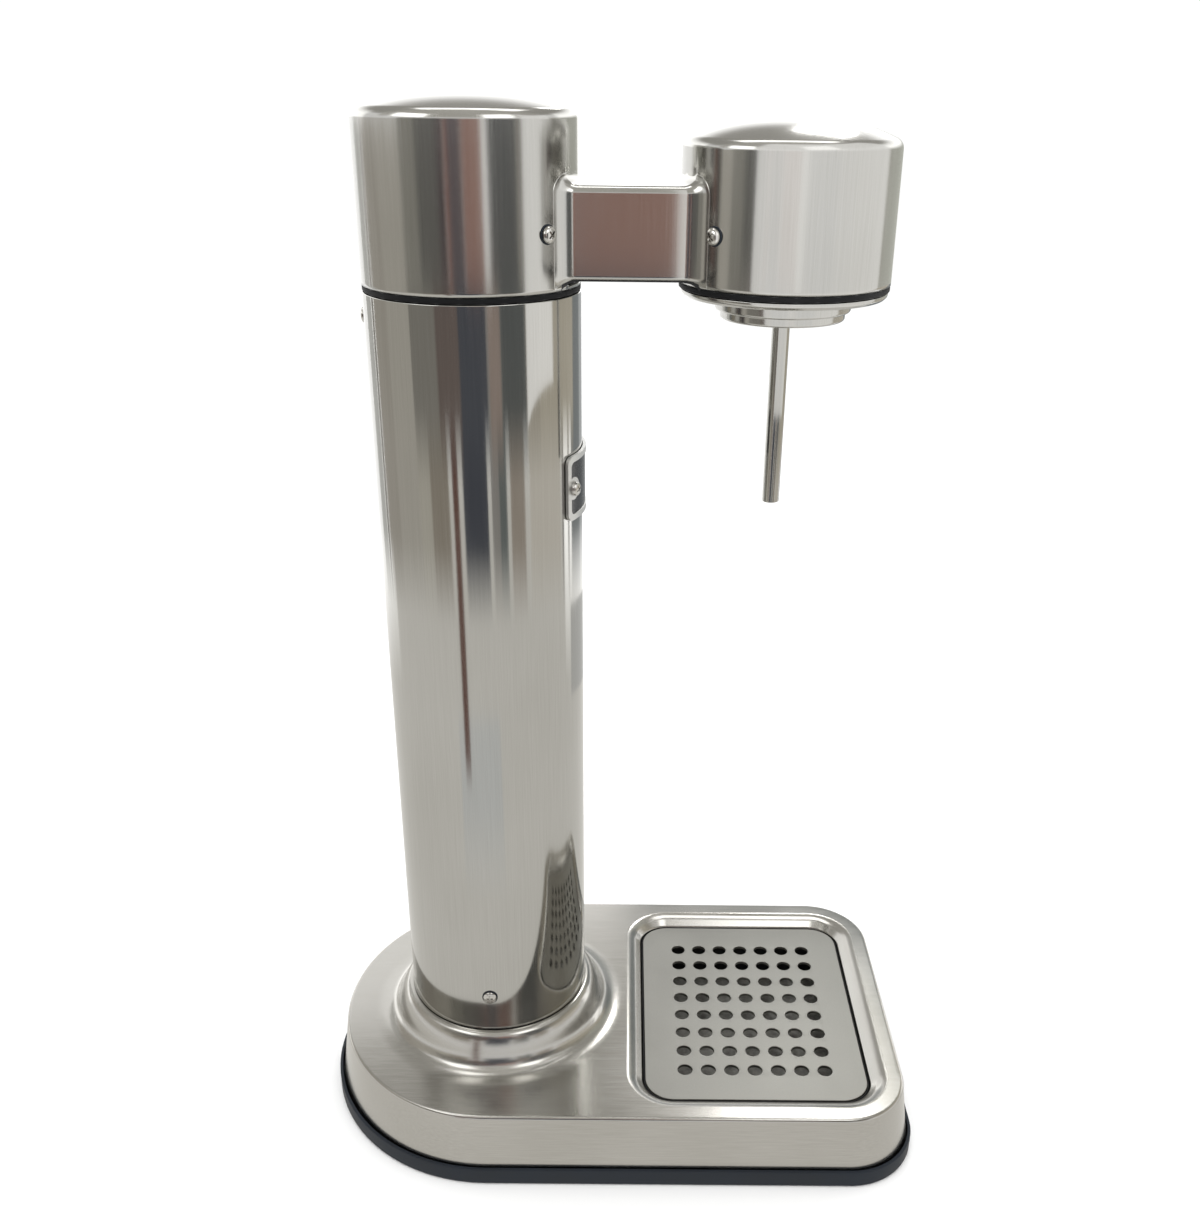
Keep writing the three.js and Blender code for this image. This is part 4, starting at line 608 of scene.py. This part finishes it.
def make_head():
    """Plate under the head, bottle collar, nozzle tube, and the seal inside the collar."""
    bm = bmesh.new()
    spun(bm, turned([
        (20.3, 348.9, 0.3), (35.3, 348.9, 0.4), (36.5, 350.1, 0.5), (36.5, 351.3, 0.3), (20.3, 351.3, 0.3),
    ], closed=True, segments=4), x=HEAD_X)
    piece("head_plate_steel", bm, "bright_steel", stands_for=["head_plate"])
    bm = bmesh.new()
    spun(bm, turned([
        (16.5, 341.0, 0.8), (22.3, 341.0, 1.0), (22.3, 344.0, 0.3), (24.2, 344.0, 1.0), (24.2, 348.6, 0.4),
        (20.0, 348.6, 0.2), (20.0, 359.0, 0.4), (16.5, 359.0, 0.4),
    ], closed=True, segments=6), x=HEAD_X)
    piece("bottle_collar_steel", bm, "bright_steel", stands_for=["bottle_collar"])
    bm = bmesh.new()
    spun(bm, turned([
        (1.3, 273.0, 0.3), (3.2, 273.0, 0.5), (3.2, 367.3, 0.3), (1.3, 367.3, 0.2),
    ], closed=True, segments=5), x=HEAD_X, steps=64)
    piece("nozzle_tube_steel", bm, "bright_steel", stands_for=["nozzle_tube"])
    bm = bmesh.new()
    spun(bm, turned([
        (3.5, 356.8, 0.5), (16.2, 356.8, 0.5), (16.2, 359.0, 0.3), (3.5, 359.0, 0.3),
    ], closed=True, segments=4), x=HEAD_X, steps=96)
    piece("bottle_seal_moulding", bm, "silicone", stands_for=["bottle_seal"])


# Badge, screws, lever and the parts inside

def make_badge():
    """Badge plate with nothing on it: a raised bright rim with ears round its screws, and a black field."""
    recess = 0.5
    enamel_depth = 0.12
    plate = bmesh.new()
    slab(plate, rectangle(0, 21, 12, 3, 0, 8), (0, 0, BADGE_THICKNESS))
    field = bmesh.new()
    slab(field, rectangle(0, 18.8, 9.8, 2, BADGE_THICKNESS - recess, 8), (0, 0, recess + 1))
    for side in (-1, 1):
        ear = bmesh.new()
        spun(ear, [(0, 0), (4.2, 0), (4.2, 4), (0, 4)], x=BADGE_SCREW_REACH * side, steps=40)
        field = cut_away(field, ear)
    enamel = field.copy()
    plate = cut_away(plate, field)
    bmesh.ops.bisect_plane(enamel, geom=enamel.verts[:] + enamel.edges[:] + enamel.faces[:],
                           plane_co=(0, 0, BADGE_THICKNESS - recess + enamel_depth), plane_no=(0, 0, 1),
                           clear_outer=True)
    bmesh.ops.holes_fill(enamel, edges=[edge for edge in enamel.edges if edge.is_boundary])
    for name, bm, slot, finish, nodes, rounding in [
            ("badge_plate_steel", plate, "bright_steel", "pearled_steel", ["badge_plate"], 0.22),
            ("badge_field_enamel", enamel, "black_plastic", "black_enamel", [], 0)]:
        # Upright cuts a millimetre apart, clear of the outline's own points, let the flat shape bend
        for place in range(-20, 21):
            bmesh.ops.bisect_plane(bm, geom=bm.verts[:] + bm.edges[:] + bm.faces[:],
                                   plane_co=(place + 0.37, 0, 0), plane_no=(1, 0, 0))
        for vert in bm.verts:
            angle = vert.co.x / BADGE_RADIUS
            reach = BADGE_RADIUS + vert.co.z
            vert.co = (COLUMN_X + reach * math.cos(angle), reach * math.sin(angle), BADGE_HEIGHT + vert.co.y)
        piece(name, bm, slot, stands_for=nodes, finish=finish, rounding=rounding, steps=2)


def screw_head(radius, height):
    """A domed head with a cross recess, about the Z axis, and a short shank."""
    dome = [(point.x, point.z) for point in interpolate_bezier(
        Vector((radius, 0, height * 0.3)), Vector((radius, 0, height * 0.8)),
        Vector((radius * 0.6, 0, height)), Vector((0, 0, height)), 10)]
    head = bmesh.new()
    spun(head, [(0, -2.0), (radius * 0.5, -2.0), (radius * 0.5, -0.25), (radius, -0.25)] + dome, steps=40)
    for long_side, short_side in [(0.62, 0.13), (0.13, 0.62)]:
        arm = bmesh.new()
        low = rectangle(0, radius * long_side * 0.55, radius * short_side * 0.8, 0.01, height * 0.35, 1)
        high = rectangle(0, radius * long_side, radius * short_side, 0.01, height + 0.5, 1)
        skin(arm, [low, high], ends=True)
        head = cut_away(head, arm)
    return head


def on_wall(x, radius, degrees, height):
    """A screw's place on an upright round wall, and the way it points."""
    angle = math.radians(degrees)
    out = (math.cos(angle), math.sin(angle), 0)
    reach = radius + SCREW_STAND_OFF
    return x + out[0] * reach, out[1] * reach, height, out


def screw_list():
    """Every screw's head, as its radius and height, and its place and direction."""
    cap_angle = math.degrees(math.asin(COVER_SCREW_SIDE / COLUMN_RADIUS))
    head_angle = 180 - math.degrees(math.asin(COVER_SCREW_SIDE / HEAD_RADIUS))
    badge_angle = math.degrees(BADGE_SCREW_REACH / BADGE_RADIUS)
    badge_face = BADGE_RADIUS + BADGE_THICKNESS
    under = (0, 0, -1)
    cover = (2.8, 2.0)
    column = (2.8, 1.2)
    badge = (2.6, 1.8)
    lever = (4.0, 2.0)
    base = (3.4, 1.6)
    screws = {
        "cap_screw_left": (cover, on_wall(COLUMN_X, COLUMN_RADIUS, -cap_angle, COVER_SCREW_HEIGHT)),
        "cap_screw_right": (cover, on_wall(COLUMN_X, COLUMN_RADIUS, cap_angle, COVER_SCREW_HEIGHT)),
        "head_screw_left": (cover, on_wall(HEAD_X, HEAD_RADIUS, -head_angle, COVER_SCREW_HEIGHT)),
        "head_screw_right": (cover, on_wall(HEAD_X, HEAD_RADIUS, head_angle, COVER_SCREW_HEIGHT)),
        "column_screw_left": (column, on_wall(COLUMN_X, COLUMN_RADIUS, -90, COLUMN_SCREW_HEIGHT)),
        "column_screw_right": (column, on_wall(COLUMN_X, COLUMN_RADIUS, 90, COLUMN_SCREW_HEIGHT)),
        "column_screw_back": (column, on_wall(COLUMN_X, COLUMN_RADIUS, 180, BACK_SCREW_HEIGHT)),
        "badge_screw_left": (badge, on_wall(COLUMN_X, badge_face, -badge_angle, BADGE_HEIGHT)),
        "badge_screw_right": (badge, on_wall(COLUMN_X, badge_face, badge_angle, BADGE_HEIGHT)),
        "lever_screw": (lever, (COLUMN_X, 49.6, LEVER_HEIGHT, (0, 1, 0))),
        "base_screw_rear_left": (base, (0.5, -60.0, BASE_SCREW_HEIGHT, under)),
        "base_screw_rear_right": (base, (0.5, 60.0, BASE_SCREW_HEIGHT, under)),
        "base_screw_front_left": (base, (118.5, -45.0, BASE_SCREW_HEIGHT, under)),
        "base_screw_front_right": (base, (118.5, 45.0, BASE_SCREW_HEIGHT, under)),
    }
    socket_circle = 41.5
    for i, degrees in enumerate((60, 180, 300)):
        angle = math.radians(degrees)
        x = COLUMN_X + socket_circle * math.cos(angle)
        y = socket_circle * math.sin(angle)
        screws[f"socket_screw_{i + 1}"] = (base, (x, y, BASE_SCREW_HEIGHT, under))
    return screws


def make_screws():
    """Cross-recessed heads, with a thin dark ring under those on the cap, the head and the column: painted
    shadow of the gap round each head.
    """
    screws = screw_list()
    for name in [name for name in screws if name.split("_")[0] in ("cap", "head", "column")]:
        (radius, _), (x, y, z, out) = screws[name]
        bm = bmesh.new()
        spun(bm, turned([
            (1.6, -0.1, 0), (radius + 0.45, -0.1, 0.1), (radius + 0.45, 0.25, 0.12), (1.6, 0.25, 0),
        ], closed=True, segments=3), steps=40)
        placed(bm, x - SCREW_STAND_OFF * out[0], y - SCREW_STAND_OFF * out[1], z, out)
        # A dark ring in the rubber finish, put where there is only the shadow of the gap round the head:
        # painted shadow
        piece(name + "_ring", bm, "black_rubber")
    heads = {}
    for name, (shape, (x, y, z, out)) in screws.items():
        if shape not in heads:
            heads[shape] = screw_head(*shape)
        bm = placed(heads[shape].copy(), x, y, z, out)
        piece(name + "_head", bm, "screw_steel", body="lever" if name == "lever_screw" else "frame",
              stands_for=[name], rounding=0.06, steps=2)


def make_lever():
    """Lever: hub on the shaft's end, a tapering bar beside the arm and a thumb pad at its tip."""
    bm = bmesh.new()
    spun(bm, turned([
        (4.3, 39.3, 0.2), (11.0, 39.3, 1.0), (11.0, 49.3, 1.4), (1.8, 49.3, 0.3), (1.8, 46.9, 0),
        (4.3, 46.9, 0),
    ], closed=True, segments=5), steps=96)
    placed(bm, COLUMN_X, 0, LEVER_HEIGHT, (0, 1, 0))
    bar_side = 43.3
    bar_corners = [(6.0, 7.9, 0), (6.0, -7.9, 0), (117.5, -5.5, 5.4), (117.5, 5.5, 5.4)]
    bar = [Vector((COLUMN_X + point.x, bar_side, LEVER_HEIGHT + point.y))
           for point in rounded_line(bar_corners, True, 12)]
    slab(bm, bar, (0, 6.0, 0))
    pad_side = 51.8
    pad_line = [(1.6, 368.5), (0.5, 369.0), (0, 370.1), (0, 375.9), (0.5, 377.0), (1.6, 377.5)]
    loops = [[point + Vector((0, pad_side, 0)) for point in rectangle(
        44.0, 20.0 - inset, 8.5 - inset, 8.0 - inset, height, 12)] for inset, height in pad_line]
    skin(bm, loops, ends=True)
    piece("lever_arm_steel", bm, "bright_steel", body="lever", stands_for=["lever_arm"], rounding=0.7)


def make_cylinder():
    """Gas cylinder: dished foot, straight wall, round shoulder and a neck open for its valve."""
    bm = bmesh.new()
    foot = [(0, 14.0), (14.0, 11.8), (22.0, 8.6), (24.4, 6.6), (26.0, 6.0), (28.2, 6.7), (29.6, 8.4),
            (30.0, 10.6)]
    shoulder = [(13.0 + 17.0 * math.cos(turn), 288.6 + 21.0 * math.sin(turn))
                for turn in [math.pi / 2 * i / 16 for i in range(17)]]
    neck = [(13.0, 314.6), (12.7, 314.9), (8.6, 314.9), (8.6, 300.0), (0, 300.0)]
    spun(bm, foot + shoulder + neck, x=COLUMN_X)
    piece("gas_cylinder_steel", bm, "painted_steel", body="cylinder", stands_for=["gas_cylinder"])


def make_gas_hose():
    """Hose from the valve up into the arm and across to the head, swept round its middle line."""
    bend = 9.0
    radius = 2.6
    corners = [(-33.0, 358.6, 0), (-23.0, 358.6, bend), (-9.0, 364.0, bend), (23.0, 364.0, 0)]
    middle = rounded_line(corners, False, 10)
    bm = bmesh.new()
    rings = []
    for i, point in enumerate(middle):
        ahead = (middle[min(i + 1, len(middle) - 1)] - middle[max(i - 1, 0)]).normalized()
        across = Vector((0, 1, 0))
        up = Vector((ahead.x, 0, ahead.y)).cross(across)
        centre = Vector((point.x, 0, point.y))
        rings.append([centre + radius * (math.cos(turn) * across + math.sin(turn) * up)
                      for turn in [math.tau * step / 24 for step in range(24)]])
    skin(bm, rings, ends=True)
    piece("gas_hose_tube", bm, "black_rubber", stands_for=["gas_hose"])


def make_return_spring():
    """Coil spring under the plunger, on the valve block: it gets shorter as the lever goes down."""
    low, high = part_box("return_spring")
    middle = (low + high) / 2 * METRE
    wire_radius = 0.6
    coil_radius = 4.6
    turns = 4.5
    steps = 32
    bottom = low.z * METRE + wire_radius
    top = high.z * METRE - wire_radius
    bm = bmesh.new()
    rings = []
    for i in range(round(turns * steps) + 1):
        turn = math.tau * i / steps
        height = bottom + (top - bottom) * i / (turns * steps)
        out = Vector((math.cos(turn), math.sin(turn), 0))
        centre = Vector((middle.x, middle.y, height)) + coil_radius * out
        rings.append([centre + wire_radius * (math.cos(side) * out + Vector((0, 0, math.sin(side))))
                      for side in [math.tau * step / 12 for step in range(12)]])
    skin(bm, rings, ends=True)
    spring = piece("return_spring_coil", bm, "spring_steel", stands_for=["return_spring"])
    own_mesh(spring)


def dress_solids():
    """Gives every CAD solid that is still shown its material."""
    slots = {part["node"]: part["material_slot"] for part in frame["record"]["subparts"]}
    for name, obj in frame["nodes"].items():
        obj.data.materials.clear()
        obj.data.materials.append(finishes[slots[name]])


# Studio

def make_camera():
    """The photograph's viewpoint, fitted to the machine's outline: place in metres, turns in radians."""
    place = (0.001052, -0.455609, 0.415541)
    yaw = 0.004722
    pitch = 0.434096
    roll = 0.012002
    data = bpy.data.cameras.new("camera")
    data.sensor_width = 36.0
    data.lens = 36.989
    data.shift_x = -0.02320
    data.shift_y = 0.04718
    data.clip_start = 0.01
    obj = bpy.data.objects.new("camera", data)
    ahead = Vector((math.sin(yaw) * math.cos(pitch), math.cos(yaw) * math.cos(pitch), -math.sin(pitch)))
    level = Vector((math.cos(yaw), -math.sin(yaw), 0))
    upright = level.cross(ahead)
    right = math.cos(roll) * level + math.sin(roll) * upright
    up = math.cos(roll) * upright - math.sin(roll) * level
    turn = Matrix((right, up, -ahead)).transposed().to_4x4()
    obj.matrix_world = Matrix.Translation(place) @ turn
    scene.collection.objects.link(obj)
    scene.camera = obj


def make_room():
    """White surroundings and a pale floor, in metres."""
    world = bpy.data.worlds.new("studio")
    world.use_nodes = True
    world.node_tree.nodes.clear()
    sky = add(world.node_tree, "Background", {"Color": (1, 1, 1, 1), "Strength": 1.05})
    add(world.node_tree, "OutputWorld", {"Surface": sky.outputs["Background"]})
    scene.world = world
    bm = bmesh.new()
    bmesh.ops.create_circle(bm, cap_ends=True, segments=64, radius=8.0)
    floor = bpy.data.objects.new("floor", to_mesh(bm, "floor"))
    scene.collection.objects.link(floor)
    material = empty_material("pale_floor")
    paint = add(material.node_tree, "BsdfDiffuse", {"Color": (0.96, 0.96, 0.955, 1)})
    add(material.node_tree, "OutputMaterial", {"Surface": paint.outputs["BSDF"]})
    floor.data.materials.append(material)


def make_lights():
    """Two softboxes, each given by its place, what it faces, its size in metres and its power in watts."""
    for name, place, aim, size, power in [
            ("softbox_above", (0.0, -0.1, 1.3), (0, 0, 0), 0.9, 7.0),
            ("softbox_behind", (0.35, 1.15, 1.25), (0.05, 0, 0.1), 0.25, 2.0)]:
        light = bpy.data.lights.new(name, "AREA")
        light.shape = "SQUARE"
        light.size = size
        light.energy = power
        obj = bpy.data.objects.new(name, light)
        obj.location = place
        obj.rotation_euler = (Vector(aim) - Vector(place)).to_track_quat("-Z", "Y").to_euler()
        scene.collection.objects.link(obj)


def card(name, start, end, line, colour, strength=1.0, x=COLUMN_X):
    """A curved card round the column, or round another upright axis, that only reflections see.

    It goes from one angle to another, in degrees. Its section is a line of (reach, height, cover)
    points, and it fades out where the cover goes to 0.
    """
    bm = bmesh.new()
    cover = bm.verts.layers.float.new("cover")
    turn = math.radians(start)
    section = [(reach * math.cos(turn), reach * math.sin(turn), height) for reach, height, _ in line]
    wire(bm, section, closed=False)
    for vert, (_, _, share) in zip(bm.verts, line):
        vert[cover] = share
    bmesh.ops.spin(bm, geom=bm.verts[:] + bm.edges[:], cent=(0, 0, 0), axis=(0, 0, 1),
                   angle=math.radians(end - start), steps=max(4, round((end - start) / 5)))
    bmesh.ops.translate(bm, vec=(x, 0, 0), verts=bm.verts)
    to_metres(bm)
    obj = bpy.data.objects.new(name, to_mesh(bm, name))
    scene.collection.objects.link(obj)
    material = empty_material(name)
    tree = material.node_tree
    light = add(tree, "Emission", {"Color": srgb(colour), "Strength": strength})
    clear = add(tree, "BsdfTransparent")
    share = add(tree, "Attribute", attribute_name="cover")
    mixed = add(tree, "MixShader", {
        "Fac": share.outputs["Fac"], 1: clear.outputs["BSDF"], 2: light.outputs["Emission"]})
    add(tree, "OutputMaterial", {"Surface": mixed.outputs["Shader"]})
    obj.data.materials.append(material)
    for kind in ("camera", "diffuse", "transmission", "volume_scatter", "shadow"):
        setattr(obj, "visible_" + kind, False)


def make_cards():
    """Plain cards round the machine, which its steel mirrors as stripes."""
    ring = 420
    low = [(ring, 75, 0), (ring, 130, 1), (ring, 300, 1)]
    high = [(ring, 300, 1), (ring, 420, 1), (ring, 480, 0)]
    tall = [(ring, 75, 0), (ring, 130, 1), (ring, 400, 1)]
    middle = [(ring - 2, 175, 0), (ring - 2, 225, 1), (ring - 2, 300, 1)]
    slanting = [(320, 1, 0), (350, 12, 1), (ring, 100, 1), (ring, 300, 1)]
    skirting = [(ring, 1, 1), (ring, 74, 1)]
    overhead = [(ring, 500, 1), (300, 640, 1)]
    cards = [
        # Lower part of the ring, which the column tube mirrors
        (-180, -150, tall, "#c4c0b8"), (-150, -136, low, "#c8c4ba"), (-136, -116, low, "#a39b90"),
        (-112, -106, slanting, "#74564e"), (-101, -76, low, "#52555e"), (-72, -64, low, "#a09d9a"),
        (-64, -56, low, "#757b7b"), (-52, -36, low, "#b0a69c"), (-30, 12, low, "#e2ddd4"),
        (15.5, 18, low, "#6d6a66"), (26.5, 29, low, "#6d6a66"), (34, 60, low, "#8c9193"),
        (60, 82, low, "#bcbfc0"), (30, 86, skirting, "#cfcfcd"), (88, 136, tall, "#ffffff", 1.3),
        (137, 151, tall, "#d2d2cf"), (152, 156, tall, "#8c8882"), (157, 180, tall, "#bab5ad"),
        # In front of it, darker, for the tube's upper end
        (-150, -122, middle, "#94918b"), (-122, -99, middle, "#7b706c"), (-99, -72, middle, "#595c64"),
        (-70, -58, middle, "#a89991"), (-57, -31, middle, "#686b6b"), (-31, -15, middle, "#b8b1a4"),
        (-15, 40, middle, "#c9c2b3"),
        # Upper part of the ring, which the cap, the arm and the head mirror
        (-150, -133, high, "#9c9a93"), (-133, -112, high, "#73726f"), (-112, -105, high, "#5d5658"),
        (-104.5, -102, high, "#a8776a"), (-102, -89, high, "#6b6468"), (-88.5, -70.5, high, "#ad8a80"),
        (-64.5, -37, high, "#696a6a"), (-37, -22, high, "#9e9a94"), (-22, 14, high, "#aeaaa0"),
        (14, 60, high, "#c6c7be"),
        # Far white strip behind a gap in the ring
        (-70.5, -64.5, [(1000, 250, 1), (1000, 700, 1)], "#ffffff", 1.2),
        # Floor near the machine, for the base's wall and the tube's foot
        (-118, -72, [(200, 0.4, 0), (300, 0.4, 1), (ring, 0.4, 1)], "#e2e4e4"),
        (0, 360, [(60, 0.2, 1), (900, 0.2, 1), (1400, 0.2, 0)], "#ebe9e4"),
        # Above the near side, for the rounded rims
        (-175, -5, [(ring, 480, 0), (400, 560, 1), (200, 720, 1), (5, 760, 1)], "#c9c7c1"),
        (-158, -122, overhead, "#ffffff", 3.0), (-66, -36, overhead, "#ffffff", 3.0),
        # Floor, wall and ceiling of the far side, for the domes, the base's top and the grille
        (20, 160, [(450, 0.6, 0), (800, 0.6, 1), (1990, 0.6, 1)], "#ffffff", 1.8),
        (20, 160, [(2000, 0, 1), (2000, 1000, 1), (2000, 1700, 0)], "#ffffff", 2.0),
        (0, 180, [(2100, 1250, 0), (2100, 1650, 1), (1500, 2600, 1), (5, 3000, 1)], "#b5b3ae"),
    ]
    for i, (start, end, line, *look) in enumerate(cards):
        card(f"card_{i + 1}", start, end, line, *look)
    card("head_haze", -122, -5, [(70, 290, 0.75), (70, 480, 0.75)], "#ffffff", 1.4, x=HEAD_X)


make_camera()
make_room()
make_lights()
make_cards()
make_foot_ring()
make_base_housing()
make_drip_pan()
make_drip_grille()
make_column()
make_top_cover()
make_seal_line()
make_head()
make_badge()
make_screws()
make_lever()
make_cylinder()
make_gas_hose()
make_return_spring()
dress_solids()
